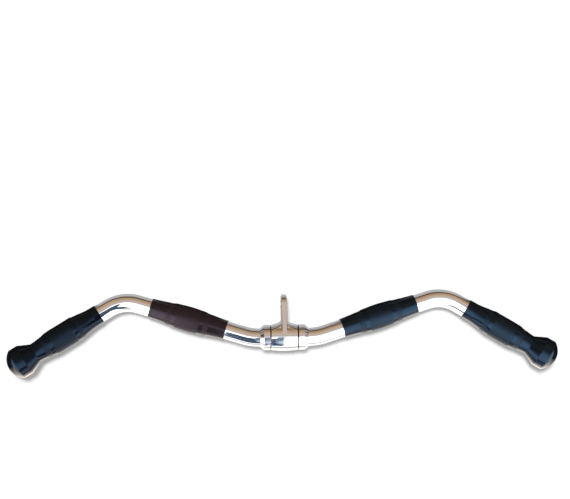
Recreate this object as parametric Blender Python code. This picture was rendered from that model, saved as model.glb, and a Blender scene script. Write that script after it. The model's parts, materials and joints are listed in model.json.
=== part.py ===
"""Revolving curl bar for a cable machine, made of the pieces that come apart on a bench.

Metres, +Z up. The bar is drawn in its own plane first: X along the hub and Y towards the two
peaks. The whole object is then laid down on Z = 0, where it rests on the two bulbs and the two
inner grips, with the hanger dropped until the rim of its eye touches.
"""

from math import acos, asin, atan2, cos, pi, radians, sin, sqrt, tan

import bmesh
import bpy
from mathutils import Matrix, Vector

# Fits between pieces
SEAT_GAP = 0.0003
END_PLAY = 0.0002
RUNNING_GAP = 0.00006

# Steel bar: one rod with two bends on each side
BAR_DIAMETER = 0.025
BAR_END_CHAMFER = 0.0012
INNER_BEND = radians(17.4)
INNER_BEND_RADIUS = 0.075
PEAK_BEND = radians(48.7)
PEAK_BEND_RADIUS = 0.050
BARE_BY_COLLAR = 0.0005
BARE_BEFORE_INNER_GRIP = 0.0259
BARE_AFTER_INNER_GRIP = 0.0181
BARE_BEFORE_OUTER_GRIP = 0.0147

# Hub: flanged bushes in the hanger's sleeve, held between two collars
BUSH_WALL = 0.0018
BUSH_LENGTH = 0.0145
FLANGE_THICKNESS = 0.0008
FLANGE_REACH = 0.0022
SLEEVE_WALL = 0.0029
SLEEVE_LENGTH = 0.0370
SLEEVE_CROWN = 0.0012
SLEEVE_EDGE = 0.0005
COLLAR_WALL = 0.0050
COLLAR_FLAT = 0.0085
COLLAR_CONE = 0.0050
COLLAR_FOOT_WALL = 0.0008
COLLAR_EDGE = 0.0005

# Set screw in each collar
SCREW_DIAMETER = 0.0056
SCREW_RECESS = 0.0004
SOCKET_ACROSS_FLATS = 0.0030
SOCKET_DEPTH = 0.0024

# Hanger's tab and eye
TAB_THICKNESS = 0.0084
EYE_HEIGHT = 0.0445
EYE_DIAMETER = 0.0150
EYE_RIM = 0.0080
EYE_CHAMFER = 0.0010
RIM_ROUND = 0.0026
FAIRING_SLOPE = radians(14.5)
FAIRING_FILLET = 0.0080
FAIRING_SPREAD = radians(90.0)
FAIRING_EASE = 0.25
FAIRING_BLEND = 0.0030

# Grips: wall over the bar at the ends, and at the swell
GRIP_END_WALL = 0.0007
GRIP_SWELL_WALL = 0.0043
GRIP_LIP = 0.0003
RIB_HEIGHT = 0.0003
MATT_DEPTH = 0.0002

# Inner grip, band by band from the end
INNER_CUFF = 0.0243
INNER_MATT = 0.0068
INNER_RIB = 0.0070
INNER_KNURL = 0.0327

# Outer grip, band by band from its upper end
OUTER_CUFF = 0.0295
OUTER_MATT = 0.0070
OUTER_RIB = 0.0065
OUTER_KNURL = 0.0325
OUTER_NECK = 0.0130
NECK_WALL = 0.0010
CONE_LENGTH = 0.0165
BULB_LENGTH = 0.0125
BULB_DIAMETER = 0.0434
BULB_EDGE = 0.0012
BULB_CROWN = 0.0120
BULB_END_WALL = 0.0160

# Facets
SIDES = 28
INNER_BEND_STEPS = 4
PEAK_BEND_STEPS = 8
CUFF_STEPS = 4
KNURL_STEPS = 4
NECK_STEPS = 2
NARROW_BAND_STEPS = 1
CROWN_STEPS = 6
FILLET_STEPS = 4
ROUND_STEPS = 3
EYE_SIDES = 24
TAB_TOP_STEPS = 6
TAB_SIDE_STEPS = 6
SCREW_SIDES = 12

# Sizes that follow from the ones above
BAR_RADIUS = BAR_DIAMETER / 2
SEAT_RADIUS = BAR_RADIUS + SEAT_GAP
FACET_FLAT = cos(pi / SIDES)
BUSH_BORE_RADIUS = (BAR_RADIUS + RUNNING_GAP) / FACET_FLAT
BUSH_RADIUS = BAR_RADIUS + BUSH_WALL
SLEEVE_BORE_RADIUS = (BUSH_RADIUS + SEAT_GAP) / FACET_FLAT
SLEEVE_RADIUS = BUSH_RADIUS + SEAT_GAP + SLEEVE_WALL
SLEEVE_HALF = SLEEVE_LENGTH / 2
COLLAR_START = SLEEVE_HALF + SEAT_GAP + FLANGE_THICKNESS + END_PLAY
COLLAR_RADIUS = BAR_RADIUS + COLLAR_WALL
COLLAR_LENGTH = COLLAR_FLAT + COLLAR_CONE
HUB_STRAIGHT = COLLAR_START + COLLAR_LENGTH + BARE_BY_COLLAR
EYE_OUTER_RADIUS = EYE_DIAMETER / 2 + EYE_RIM
GRIP_END_RADIUS = SEAT_RADIUS + GRIP_END_WALL
GRIP_SWELL_RADIUS = SEAT_RADIUS + GRIP_SWELL_WALL
NECK_RADIUS = SEAT_RADIUS + NECK_WALL
INNER_GRIP_LENGTH = 2 * (INNER_CUFF + INNER_MATT + INNER_RIB) + INNER_KNURL
OUTER_BANDS_LENGTH = OUTER_CUFF + 2 * (OUTER_MATT + OUTER_RIB) + OUTER_KNURL + OUTER_NECK
OUTER_GRIP_LENGTH = OUTER_BANDS_LENGTH + CONE_LENGTH + BULB_LENGTH + BULB_CROWN
OUTER_BORE_DEPTH = OUTER_GRIP_LENGTH - BULB_END_WALL
INNER_STRAIGHT = BARE_BEFORE_INNER_GRIP + INNER_GRIP_LENGTH + BARE_AFTER_INNER_GRIP
OUTER_STRAIGHT = BARE_BEFORE_OUTER_GRIP + OUTER_BORE_DEPTH - SEAT_GAP
OUTER_FALL = INNER_BEND - PEAK_BEND
SIDES_OF_THE_BAR = ("left", "right")


def clear_scene():
    """Removes whatever the scene holds."""
    for obj in list(bpy.data.objects):
        bpy.data.objects.remove(obj)


def make_material(name, colour, roughness, metallic):
    """A plain Principled material."""
    material = bpy.data.materials.new(name)
    material.use_nodes = True
    shader = material.node_tree.nodes["Principled BSDF"]
    shader.inputs["Base Color"].default_value = (*colour, 1.0)
    shader.inputs["Roughness"].default_value = roughness
    shader.inputs["Metallic"].default_value = metallic
    material.diffuse_color = (*colour, 1.0)
    return material


def make_object(name, bm, material=None, parent=None):
    """Turns a bmesh into an object, round where it is round and sharp at its edges."""
    bmesh.ops.recalc_face_normals(bm, faces=bm.faces[:])
    mesh = bpy.data.meshes.new(name)
    bm.to_mesh(mesh)
    bm.free()
    mesh.shade_smooth()
    mesh.set_sharp_from_angle(angle=radians(35.0))
    obj = bpy.data.objects.new(name, mesh)
    bpy.context.scene.collection.objects.link(obj)
    obj.parent = parent
    if material is not None:
        mesh.materials.append(material)
    return obj


def make_empty(name, parent=None):
    """An empty that carries other objects."""
    empty = bpy.data.objects.new(name, None)
    empty.empty_display_size = BAR_DIAMETER
    empty.parent = parent
    bpy.context.scene.collection.objects.link(empty)
    return empty


def make_cutter(name, bm, parent):
    """A cutting tool, which is not a piece of the object."""
    cutter = make_object(name, bm, parent=parent)
    cutter.hide_render = True
    cutter.display_type = "WIRE"
    return cutter


def cut(obj, cutter):
    """Cuts one object out of another."""
    boolean = obj.modifiers.new(cutter.name, "BOOLEAN")
    boolean.operation = "DIFFERENCE"
    boolean.solver = "EXACT"
    boolean.object = cutter


def turned(outline, sides=SIDES):
    """Turns an outline of (x, radius) points round the X axis. It may start and end on the axis."""
    bm = bmesh.new()
    verts = [bm.verts.new((x, 0.0, radius)) for x, radius in outline]
    edges = [bm.edges.new(pair) for pair in zip(verts, verts[1:])]
    ends_on_axis = outline[0][1] == 0.0 and outline[-1][1] == 0.0
    if not ends_on_axis:
        edges.append(bm.edges.new((verts[-1], verts[0])))
    bmesh.ops.spin(
        bm,
        geom=verts + edges,
        cent=(0.0, 0.0, 0.0),
        axis=(1.0, 0.0, 0.0),
        angle=2 * pi,
        steps=sides,
        use_merge=True,
    )
    bmesh.ops.remove_doubles(bm, verts=bm.verts[:], dist=1e-6)
    return bm


def arc(centre, radius, start, end, steps):
    """Points of an arc, both ends included."""
    angles = [start + (end - start) * step / steps for step in range(steps + 1)]
    return [(centre[0] + radius * cos(angle), centre[1] + radius * sin(angle)) for angle in angles]


def smooth_rise(value, start, end):
    """0 before start, 1 after end, with a smooth rise between."""
    share = min(max((value - start) / (end - start), 0.0), 1.0)
    return share * share * (3.0 - 2.0 * share)


def smooth_lower(first, second, blend):
    """The lower of two lengths, rounded off where they are within blend of each other."""
    near = max(blend - abs(first - second), 0.0) / blend
    return min(first, second) - near * near * blend / 4


def along_x(side):
    """Which way a side of the bar lies along X: -1 for the left one and 1 for the right one."""
    return 1.0 if side == "right" else -1.0


# The bar


def far_ring(geometry):
    """The ring of edges that an extrusion or a spin ends with."""
    verts = {item for item in geometry if isinstance(item, bmesh.types.BMVert)}
    edges = [item for item in geometry if isinstance(item, bmesh.types.BMEdge)]
    return [edge for edge in edges if set(edge.verts) <= verts]


def draw_straight(bm, ring, length, heading):
    """Extends the rod in a straight line."""
    geometry = bmesh.ops.extrude_edge_only(bm, edges=ring)["geom"]
    verts = [item for item in geometry if isinstance(item, bmesh.types.BMVert)]
    step = length * Vector((cos(heading), sin(heading), 0.0))
    bmesh.ops.translate(bm, verts=verts, vec=step)
    return far_ring(geometry), step


def bend_centre(at, heading, radius, angle):
    """The centre of a bend that turns left for a positive angle."""
    side = 1.0 if angle > 0 else -1.0
    return at + side * radius * Vector((-sin(heading), cos(heading), 0.0))


def after_bend(at, heading, radius, angle):
    """Where the rod's centre line comes out of a bend."""
    centre = bend_centre(at, heading, radius, angle)
    return centre + Matrix.Rotation(angle, 3, "Z") @ (at - centre)


def draw_bend(bm, ring, at, heading, radius, angle, steps):
    """Bends the rod in its plane."""
    centre = bend_centre(at, heading, radius, angle)
    result = bmesh.ops.spin(bm, geom=ring, cent=centre, axis=(0.0, 0.0, 1.0), angle=angle, steps=steps)
    return far_ring(result["geom_last"])


def stations():
    """Points on the right half's centre line: ends of the straights and bends, with headings."""
    hub_end = Vector((HUB_STRAIGHT, 0.0, 0.0))
    inner_start = after_bend(hub_end, 0.0, INNER_BEND_RADIUS, INNER_BEND)
    inner_way = Vector((cos(INNER_BEND), sin(INNER_BEND), 0.0))
    inner_end = inner_start + INNER_STRAIGHT * inner_way
    outer_start = after_bend(inner_end, INNER_BEND, PEAK_BEND_RADIUS, -PEAK_BEND)
    outer_way = Vector((cos(OUTER_FALL), sin(OUTER_FALL), 0.0))
    return {
        "hub_end": hub_end,
        "inner_end": inner_end,
        "inner_grip": inner_start + BARE_BEFORE_INNER_GRIP * inner_way,
        "inner_way": inner_way,
        "outer_grip": outer_start + BARE_BEFORE_OUTER_GRIP * outer_way,
        "outer_way": outer_way,
    }


def make_bar(material, parent):
    """One rod, drawn from the middle out to its right end and mirrored."""
    places = stations()
    bm = bmesh.new()
    across = Matrix.Rotation(pi / 2, 4, "Y")
    bmesh.ops.create_circle(bm, radius=BAR_RADIUS, segments=SIDES, matrix=across)
    ring, _ = draw_straight(bm, bm.edges[:], HUB_STRAIGHT, 0.0)
    ring = draw_bend(bm, ring, places["hub_end"], 0.0, INNER_BEND_RADIUS, INNER_BEND, INNER_BEND_STEPS)
    ring, _ = draw_straight(bm, ring, INNER_STRAIGHT, INNER_BEND)
    ring = draw_bend(
        bm, ring, places["inner_end"], INNER_BEND, PEAK_BEND_RADIUS, -PEAK_BEND, PEAK_BEND_STEPS
    )
    ring, _ = draw_straight(bm, ring, OUTER_STRAIGHT - BAR_END_CHAMFER, OUTER_FALL)
    ring, _ = draw_straight(bm, ring, BAR_END_CHAMFER, OUTER_FALL)
    end_verts = list({vert for edge in ring for vert in edge.verts})
    end = sum((vert.co for vert in end_verts), Vector()) / len(end_verts)
    share = 1.0 - BAR_END_CHAMFER / BAR_RADIUS
    bmesh.ops.scale(bm, verts=end_verts, vec=(share, share, share), space=Matrix.Translation(-end))
    bmesh.ops.edgeloop_fill(bm, edges=ring)
    bar = make_object("bar", bm, material, parent)
    mirror = bar.modifiers.new("other_half", "MIRROR")
    mirror.use_axis[0] = True
    mirror.merge_threshold = 0.00001
    return bar


# The collars and their set screws


def collar_outline():
    """Half section of a collar, from the face that meets the bush's flange."""
    foot = BAR_RADIUS + COLLAR_FOOT_WALL
    return [
        (0.0, SEAT_RADIUS),
        (0.0, COLLAR_RADIUS - COLLAR_EDGE),
        (COLLAR_EDGE, COLLAR_RADIUS),
        (COLLAR_FLAT, COLLAR_RADIUS),
        (COLLAR_LENGTH, foot),
        (COLLAR_LENGTH, SEAT_RADIUS),
    ]


def make_collars(steel, screw_steel, parent):
    """Both collars, each with a threaded hole on the underside and a socket set screw in it."""
    screw_top = COLLAR_RADIUS - SCREW_RECESS
    screw_foot = SEAT_RADIUS + END_PLAY
    for side in SIDES_OF_THE_BAR:
        sign = along_x(side)
        collar = make_object(f"collar_{side}", turned(collar_outline()), steel, parent)
        collar.location.x = sign * COLLAR_START
        collar.rotation_euler.z = 0.0 if sign > 0 else pi
        middle = sign * (COLLAR_START + COLLAR_FLAT / 2)

        bm = bmesh.new()
        hole_radius = (SCREW_DIAMETER / 2 + END_PLAY) / cos(pi / SCREW_SIDES)
        hole_place = Matrix.Translation((middle, 0.0, -COLLAR_RADIUS))
        add_cylinder(bm, SCREW_SIDES, hole_radius, 2 * COLLAR_WALL + SEAT_GAP, hole_place)
        cut(collar, make_cutter(f"screw_hole_{side}", bm, parent))

        bm = bmesh.new()
        length = screw_top - screw_foot
        place = Matrix.Translation((middle, 0.0, -(screw_top + screw_foot) / 2))
        add_cylinder(bm, SCREW_SIDES, SCREW_DIAMETER / 2, length, place)
        screw = make_object(f"set_screw_{side}", bm, screw_steel, parent)

        bm = bmesh.new()
        socket_radius = SOCKET_ACROSS_FLATS / 2 / cos(pi / 6)
        socket_place = Matrix.Translation((middle, 0.0, -screw_top))
        add_cylinder(bm, 6, socket_radius, 2 * SOCKET_DEPTH, socket_place)
        cut(screw, make_cutter(f"socket_{side}", bm, parent))


def add_cylinder(bm, sides, radius, length, place):
    """A capped cylinder along Z round its place."""
    bmesh.ops.create_cone(
        bm,
        cap_ends=True,
        segments=sides,
        radius1=radius,
        radius2=radius,
        depth=length,
        matrix=place,
    )


# The hanger and its bushes


def bush_outline():
    """Half section of a flanged bush, from the face of its flange inwards."""
    reach = BUSH_RADIUS + FLANGE_REACH
    return [
        (0.0, BUSH_BORE_RADIUS),
        (0.0, reach),
        (FLANGE_THICKNESS, reach),
        (FLANGE_THICKNESS, BUSH_RADIUS),
        (BUSH_LENGTH, BUSH_RADIUS),
        (BUSH_LENGTH, BUSH_BORE_RADIUS),
    ]


def make_bushes(material, parent):
    """A bush pressed into each end of the sleeve."""
    for side in SIDES_OF_THE_BAR:
        sign = along_x(side)
        bush = make_object(f"bush_{side}", turned(bush_outline()), material, parent)
        bush.location.x = sign * (SLEEVE_HALF + SEAT_GAP + FLANGE_THICKNESS)
        bush.rotation_euler.z = pi if sign > 0 else 0.0


def sleeve_radius(x):
    """Outer radius of the plain sleeve, a little crowned along its length."""
    return SLEEVE_RADIUS + SLEEVE_CROWN * (1.0 - (x / SLEEVE_HALF) ** 2)


def tab_reach(angle):
    """Distance from the sleeve's axis to the tab's outline, at an angle from the eye's direction.

    The outline is the eye's rim and the two straight sides that run from it to the sleeve.
    """
    side_normal = tab_side_normal()
    rim_end = atan2(
        EYE_OUTER_RADIUS * sin(side_normal), EYE_HEIGHT + EYE_OUTER_RADIUS * cos(side_normal)
    )
    if abs(angle) <= rim_end:
        offset = EYE_HEIGHT * sin(angle)
        return EYE_HEIGHT * cos(angle) + sqrt(EYE_OUTER_RADIUS**2 - offset**2)
    if abs(angle) < side_normal:
        return sleeve_radius(0.0) / cos(side_normal - abs(angle))
    return sleeve_radius(0.0)


def tab_side_normal():
    """The direction, from the eye's, in which the tab's straight sides face."""
    return acos((sleeve_radius(0.0) - EYE_OUTER_RADIUS) / EYE_HEIGHT)


def hanger_angles():
    """Angles of the hanger's sections round the sleeve, from the eye's direction, for one side."""
    side_normal = tab_side_normal()
    angles = []
    for step in range(TAB_TOP_STEPS + 1):
        on_rim = side_normal * step / TAB_TOP_STEPS
        across = EYE_OUTER_RADIUS * sin(on_rim)
        angles.append(atan2(across, EYE_HEIGHT + EYE_OUTER_RADIUS * cos(on_rim)))
    rim_end = angles[-1]
    angles += [
        rim_end + (side_normal - rim_end) * step / TAB_SIDE_STEPS
        for step in range(1, TAB_SIDE_STEPS + 1)
    ]
    rest = pi - side_normal
    count = round(rest / (2 * pi / SIDES))
    angles += [side_normal + rest * step / count for step in range(1, count + 1)]
    return angles


def fairing_outline():
    """The slope and fillet between the sleeve's end and the tab's cheek, as (x, radius) points."""
    half = TAB_THICKNESS / 2
    foot_x = SLEEVE_HALF - SLEEVE_EDGE
    centre_x = half + FAIRING_FILLET
    slope_there = SLEEVE_RADIUS + (foot_x - centre_x) * tan(FAIRING_SLOPE)
    centre = (centre_x, slope_there + FAIRING_FILLET / cos(FAIRING_SLOPE))
    fillet = arc(centre, FAIRING_FILLET, -pi / 2 - FAIRING_SLOPE, -pi, FILLET_STEPS)
    foot = (foot_x, SLEEVE_RADIUS)
    halfway = ((foot_x + fillet[0][0]) / 2, (SLEEVE_RADIUS + fillet[0][1]) / 2)
    return [foot, halfway, *fillet]


def hanger_half_section(angle):
    """Outer half section of the hanger at an angle from the eye's direction: (x, radius) points."""
    reach = tab_reach(angle)
    fade = (1.0 + cos(pi * min(abs(angle) / FAIRING_SPREAD, 1.0))) / 2
    half = TAB_THICKNESS / 2
    points = [(SLEEVE_HALF, SLEEVE_RADIUS - SLEEVE_EDGE)]
    fairing = fairing_outline()
    for number, (x, radius) in enumerate(fairing):
        plain = sleeve_radius(x)
        faded = plain + (radius - plain) * fade
        below_rim = (len(fairing) - number) * END_PLAY / len(fairing)
        rim = reach - RIM_ROUND - below_rim + (x - half) * FAIRING_EASE
        points.append((x, max(smooth_lower(faded, rim, FAIRING_BLEND), plain)))
    centre = (half - RIM_ROUND, reach - RIM_ROUND)
    for x, radius in arc(centre, RIM_ROUND, 0.0, pi / 2, ROUND_STEPS):
        points.append((x, max(radius, sleeve_radius(x))))
    return points


def hanger_section(angle):
    """Closed section of the hanger at an angle: outside, both end faces and the bore."""
    outside = hanger_half_section(angle)
    other_side = [(-x, radius) for x, radius in reversed(outside)]
    bore = [(-SLEEVE_HALF, SLEEVE_BORE_RADIUS), (SLEEVE_HALF, SLEEVE_BORE_RADIUS)]
    return outside + other_side + bore


def make_hanger(material, parent):
    """The sleeve and the eye in one casting, lofted round the sleeve's axis."""
    one_side = hanger_angles()
    angles = one_side + [-angle for angle in reversed(one_side[1:-1])]
    bm = bmesh.new()
    loops = []
    for angle in angles:
        verts = [
            bm.verts.new((x, radius * cos(angle), radius * sin(angle)))
            for x, radius in hanger_section(angle)
        ]
        loops.append([bm.edges.new(pair) for pair in zip(verts, verts[1:] + verts[:1])])
    for loop, following in zip(loops, loops[1:] + loops[:1]):
        bmesh.ops.bridge_loops(bm, edges=loop + following)
    bmesh.ops.dissolve_degenerate(bm, dist=1e-7, edges=bm.edges[:])
    hanger = make_object("hanger", bm, material, parent)

    half = TAB_THICKNESS / 2
    radius = EYE_DIAMETER / 2
    wide = radius + 2 * EYE_CHAMFER
    outside = half + EYE_CHAMFER
    inside = half - EYE_CHAMFER
    outline = [(-outside, 0.0), (-outside, wide), (-inside, radius)]
    outline += [(inside, radius), (outside, wide), (outside, 0.0)]
    bm = turned(outline, EYE_SIDES)
    bmesh.ops.translate(bm, verts=bm.verts[:], vec=(0.0, EYE_HEIGHT, 0.0))
    cut(hanger, make_cutter("eye_hole", bm, parent))
    return hanger


# The grips


def banded(bands, radius_at):
    """Outline of a grip's outside, band by band, each raised over the swell by its own height."""
    points = []
    start = 0.0
    for length, raised, steps in bands:
        for step in range(steps + 1):
            along = start + length * step / steps
            points.append((along, radius_at(along) + raised))
        start += length
    return points


def inner_grip_radius(along):
    """The inner grip's swell: thin at both ends and full in the middle."""
    share = abs(2 * along / INNER_GRIP_LENGTH - 1.0)
    return GRIP_END_RADIUS + (GRIP_SWELL_RADIUS - GRIP_END_RADIUS) * (1.0 + cos(pi * share)) / 2


def inner_grip_outline():
    """Half section of an inner grip: a sleeve of rubber with two ribs beside its knurled middle."""
    end_bands = [
        (INNER_CUFF, 0.0, CUFF_STEPS),
        (INNER_MATT, -MATT_DEPTH, NARROW_BAND_STEPS),
        (INNER_RIB, RIB_HEIGHT, NARROW_BAND_STEPS),
    ]
    bands = end_bands + [(INNER_KNURL, 0.0, KNURL_STEPS)] + end_bands[::-1]
    outside = banded(bands, inner_grip_radius)
    lip = GRIP_END_RADIUS - GRIP_LIP
    start = [(0.0, SEAT_RADIUS), (0.0, lip), (GRIP_LIP, outside[0][1])]
    end = [
        (INNER_GRIP_LENGTH - GRIP_LIP, outside[-1][1]),
        (INNER_GRIP_LENGTH, lip),
        (INNER_GRIP_LENGTH, SEAT_RADIUS),
    ]
    return start + outside[1:-1] + end


def outer_grip_radius(along):
    """The outer grip's swell, between its plain cuff and its neck."""
    ribs_start = OUTER_CUFF + OUTER_MATT
    knurl_end = ribs_start + OUTER_RIB + OUTER_KNURL
    rise = smooth_rise(along, OUTER_CUFF / 3, ribs_start + OUTER_RIB)
    fall = smooth_rise(along, knurl_end - OUTER_RIB, OUTER_BANDS_LENGTH)
    swollen = GRIP_END_RADIUS + (GRIP_SWELL_RADIUS - GRIP_END_RADIUS) * rise
    return swollen + (NECK_RADIUS - swollen) * fall


def outer_grip_outline():
    """Half section of an outer grip: bands, neck, cone and bulb, with a blind bore for the bar."""
    bands = [
        (OUTER_CUFF, 0.0, CUFF_STEPS),
        (OUTER_MATT, -MATT_DEPTH, NARROW_BAND_STEPS),
        (OUTER_RIB, RIB_HEIGHT, NARROW_BAND_STEPS),
        (OUTER_KNURL, 0.0, KNURL_STEPS),
        (OUTER_RIB, RIB_HEIGHT, NARROW_BAND_STEPS),
        (OUTER_MATT, -MATT_DEPTH, NARROW_BAND_STEPS),
        (OUTER_NECK, 0.0, NECK_STEPS),
    ]
    outside = banded(bands, outer_grip_radius)
    bulb_radius = BULB_DIAMETER / 2
    bulb_start = OUTER_BANDS_LENGTH + CONE_LENGTH
    bulb_end = bulb_start + BULB_LENGTH
    crown_foot = bulb_radius - BULB_EDGE
    crown_radius = (crown_foot**2 + BULB_CROWN**2) / (2 * BULB_CROWN)
    crown_centre = (OUTER_GRIP_LENGTH - crown_radius, 0.0)
    crown_angle = asin(crown_foot / crown_radius)
    crown = arc(crown_centre, crown_radius, crown_angle, 0.0, CROWN_STEPS)
    bore = [(OUTER_BORE_DEPTH, 0.0), (OUTER_BORE_DEPTH, SEAT_RADIUS), (0.0, SEAT_RADIUS)]
    mouth = [(0.0, GRIP_END_RADIUS - GRIP_LIP), (GRIP_LIP, outside[0][1])]
    bulb = [
        (bulb_start - BULB_EDGE, bulb_radius - BULB_EDGE / 2),
        (bulb_start + BULB_EDGE / 2, bulb_radius),
        (bulb_end - BULB_EDGE, bulb_radius),
    ]
    return bore + mouth + outside[1:] + bulb + crown[:-1] + [(OUTER_GRIP_LENGTH, 0.0)]


def make_grips(rubber, parent):
    """Four rubber grips, pushed on to the bar's straights."""
    places = stations()
    for kind, outline in (("inner", inner_grip_outline()), ("outer", outer_grip_outline())):
        at = places[f"{kind}_grip"]
        way = places[f"{kind}_way"]
        for side in SIDES_OF_THE_BAR:
            sign = along_x(side)
            grip = make_object(f"{kind}_grip_{side}", turned(outline), rubber, parent)
            grip.location = (sign * at.x, at.y, 0.0)
            grip.rotation_euler.z = atan2(way.y, sign * way.x)


# How it lies


def lie_of_the_bar():
    """The bar plane's tilt and the hub's height that put the bulbs and inner grips on Z = 0."""
    places = stations()
    bulb = places["outer_grip"] + (OUTER_BANDS_LENGTH + CONE_LENGTH) * places["outer_way"]
    grip = places["inner_grip"] + INNER_GRIP_LENGTH / 2 * places["inner_way"]
    bulb_radius = BULB_DIAMETER / 2
    tilt = asin((bulb_radius - GRIP_SWELL_RADIUS) / (grip.y - bulb.y))
    return tilt, bulb_radius + bulb.y * sin(tilt)


def place_on_the_ground(ground):
    """Moves everything so that the bottom centre of its bounds is the origin."""
    bpy.context.view_layer.update()
    graph = bpy.context.evaluated_depsgraph_get()
    corners = []
    for obj in bpy.context.scene.objects:
        if obj.type == "MESH" and not obj.hide_render:
            mesh = obj.evaluated_get(graph).to_mesh()
            corners += [obj.matrix_world @ vert.co for vert in mesh.vertices]
            obj.evaluated_get(graph).to_mesh_clear()
    low = [min(corner[axis] for corner in corners) for axis in range(3)]
    high = [max(corner[axis] for corner in corners) for axis in range(3)]
    ground.location.x -= (low[0] + high[0]) / 2
    ground.location.y -= (low[1] + high[1]) / 2
    ground.location.z -= low[2]


def main():
    """Builds the object, piece by piece, and lays it down."""
    clear_scene()
    chrome = make_material("chrome", (0.67, 0.675, 0.685), 0.07, 1.0)
    bronze = make_material("oiled_bronze", (0.09, 0.055, 0.04), 0.45, 1.0)
    rubber = make_material("black_rubber", (0.012, 0.014, 0.018), 0.45, 0.0)
    screw_steel = make_material("blackened_steel", (0.06, 0.06, 0.065), 0.5, 1.0)

    tilt, height = lie_of_the_bar()
    ground = make_empty("ground")
    bar_frame = make_empty("bar_frame", ground)
    bar_frame.location.z = height
    bar_frame.rotation_euler.x = -tilt
    droop = asin((height - EYE_OUTER_RADIUS) / EYE_HEIGHT)
    hanger_axis = make_empty("hanger_axis", bar_frame)
    hanger_axis.rotation_euler.x = tilt - droop

    make_bar(chrome, bar_frame)
    make_collars(chrome, screw_steel, bar_frame)
    make_hanger(chrome, hanger_axis)
    make_bushes(bronze, hanger_axis)
    make_grips(rubber, bar_frame)
    place_on_the_ground(ground)


main()
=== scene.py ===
"""Looks of a revolving curl bar for a cable machine, built on its packed frame.

Metres, +Z up, in the frame's own place: +X along the hub and +Y towards the two peaks.
"""

import json
from math import acos, asin, atan2, ceil, cos, pi, radians, sin, sqrt, tan

import bmesh
import bpy
from bpy.props import FloatProperty, FloatVectorProperty, PointerProperty
from mathutils import Matrix, Vector


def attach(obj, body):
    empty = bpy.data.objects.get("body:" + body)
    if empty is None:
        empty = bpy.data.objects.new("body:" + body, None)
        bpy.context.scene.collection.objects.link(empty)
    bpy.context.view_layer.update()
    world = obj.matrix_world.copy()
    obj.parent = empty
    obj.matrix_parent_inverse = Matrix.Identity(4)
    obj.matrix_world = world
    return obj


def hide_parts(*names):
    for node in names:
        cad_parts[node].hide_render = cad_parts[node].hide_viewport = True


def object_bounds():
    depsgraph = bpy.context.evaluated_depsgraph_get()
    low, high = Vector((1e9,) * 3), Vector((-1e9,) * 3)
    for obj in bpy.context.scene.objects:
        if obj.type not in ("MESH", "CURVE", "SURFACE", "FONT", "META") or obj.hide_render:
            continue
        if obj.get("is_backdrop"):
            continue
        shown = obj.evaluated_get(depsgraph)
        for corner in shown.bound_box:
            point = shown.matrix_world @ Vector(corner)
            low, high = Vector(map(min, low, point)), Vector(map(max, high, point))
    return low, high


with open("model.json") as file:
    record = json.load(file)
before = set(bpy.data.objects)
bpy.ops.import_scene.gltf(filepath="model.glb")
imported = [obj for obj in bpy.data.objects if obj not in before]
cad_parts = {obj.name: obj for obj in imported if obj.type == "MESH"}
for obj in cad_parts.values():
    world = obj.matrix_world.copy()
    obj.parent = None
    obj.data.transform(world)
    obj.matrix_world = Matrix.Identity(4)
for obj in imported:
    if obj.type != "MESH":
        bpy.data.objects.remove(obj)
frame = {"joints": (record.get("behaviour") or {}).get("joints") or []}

bl_info = {
    "name": "Revolving Curl Bar",
    "version": (1, 0, 0),
    "blender": (4, 5, 0),
    "location": "View3D > Sidebar > Curl Bar",
    "description": "Builds the chrome bar, its hub and its rubber grips on the packed frame",
    "category": "Object",
}

# Where the hub's axis lies, and which way each side of the bar points along X
HUB = Vector(frame["joints"][0]["pos_m"])
SIDES_OF_THE_BAR = (("left", -1.0), ("right", 1.0))

# Faces round each piece
ROD_SIDES = 96
TURNED_SIDES = 128
KNURL_SIDES = 124
EYE_SIDES = 96
SCREW_SIDES = 48
HEX_SIDES = 6

# Faces along the bends of the bar
INNER_BEND_STEPS = 28
PEAK_BEND_STEPS = 56

# Faces of the hanger: round the eye's rim, along the tab's sides and round the sleeve's back
RIM_STEPS = 26
TAB_STEPS = 26
BACK_STEPS = 34

# Faces across the hanger: up the fairing's slope, in its fillet and over a rounded edge
SLOPE_STEPS = 8
FILLET_STEPS = 14
ROUND_STEPS = 8
FLARE_STEPS = 7

# Faces along the bulbs: over a corner of the cone, and along the cone, the bulb, its brim and crown
CORNER_STEPS = 6
CONE_STEPS = 12
BULB_STEPS = 8
BRIM_STEPS = 8
CROWN_STEPS = 40

# The diamonds of the knurl rise over the band by this share of their height and sink by the rest
KNURL_RISE = 0.6
# A face that lies further out than the bore's radius times this belongs to a grip's outside
OFF_THE_BORE = 1.01
# The share of the outer grip's cuff that stays plain before the grip swells
CUFF_PLAIN = 1 / 3

# The set screw's chamfers, as a share of its radius
SCREW_CHAMFER = 1 / 6
# The flare at the eye's ends stops at this angle, just before it would graze the tab's cheek
FLARE_END = -0.05
# Below the tab's rim the fairing's points are spread over this height, so that none meet
RIM_SPREAD = 0.0002

# Edges that bend by more than this are rounded or shaded as sharp
SHARP_ANGLE = radians(35.0)
BEVEL_SEGMENTS = 3

# Points nearer than this are made one: in a turned piece, in the casting and at the mirror
TURNED_MERGE = 1e-6
CASTING_MERGE = 1e-7
MIRROR_MERGE = 1e-5


def length(name, description, default):
    """A size in metres."""
    return FloatProperty(
        name=name, description=description, default=default, min=0.0, precision=5, unit="LENGTH"
    )


def turn(name, description, default):
    """An angle, given in degrees."""
    return FloatProperty(
        name=name, description=description, default=radians(default), unit="ROTATION"
    )


def offset(name, description, default):
    """A place along an axis, which may be negative."""
    return FloatProperty(name=name, description=description, default=default, unit="LENGTH")


def amount(name, description, default):
    """A number that isn't negative."""
    return FloatProperty(name=name, description=description, default=default, min=0.0)


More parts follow.
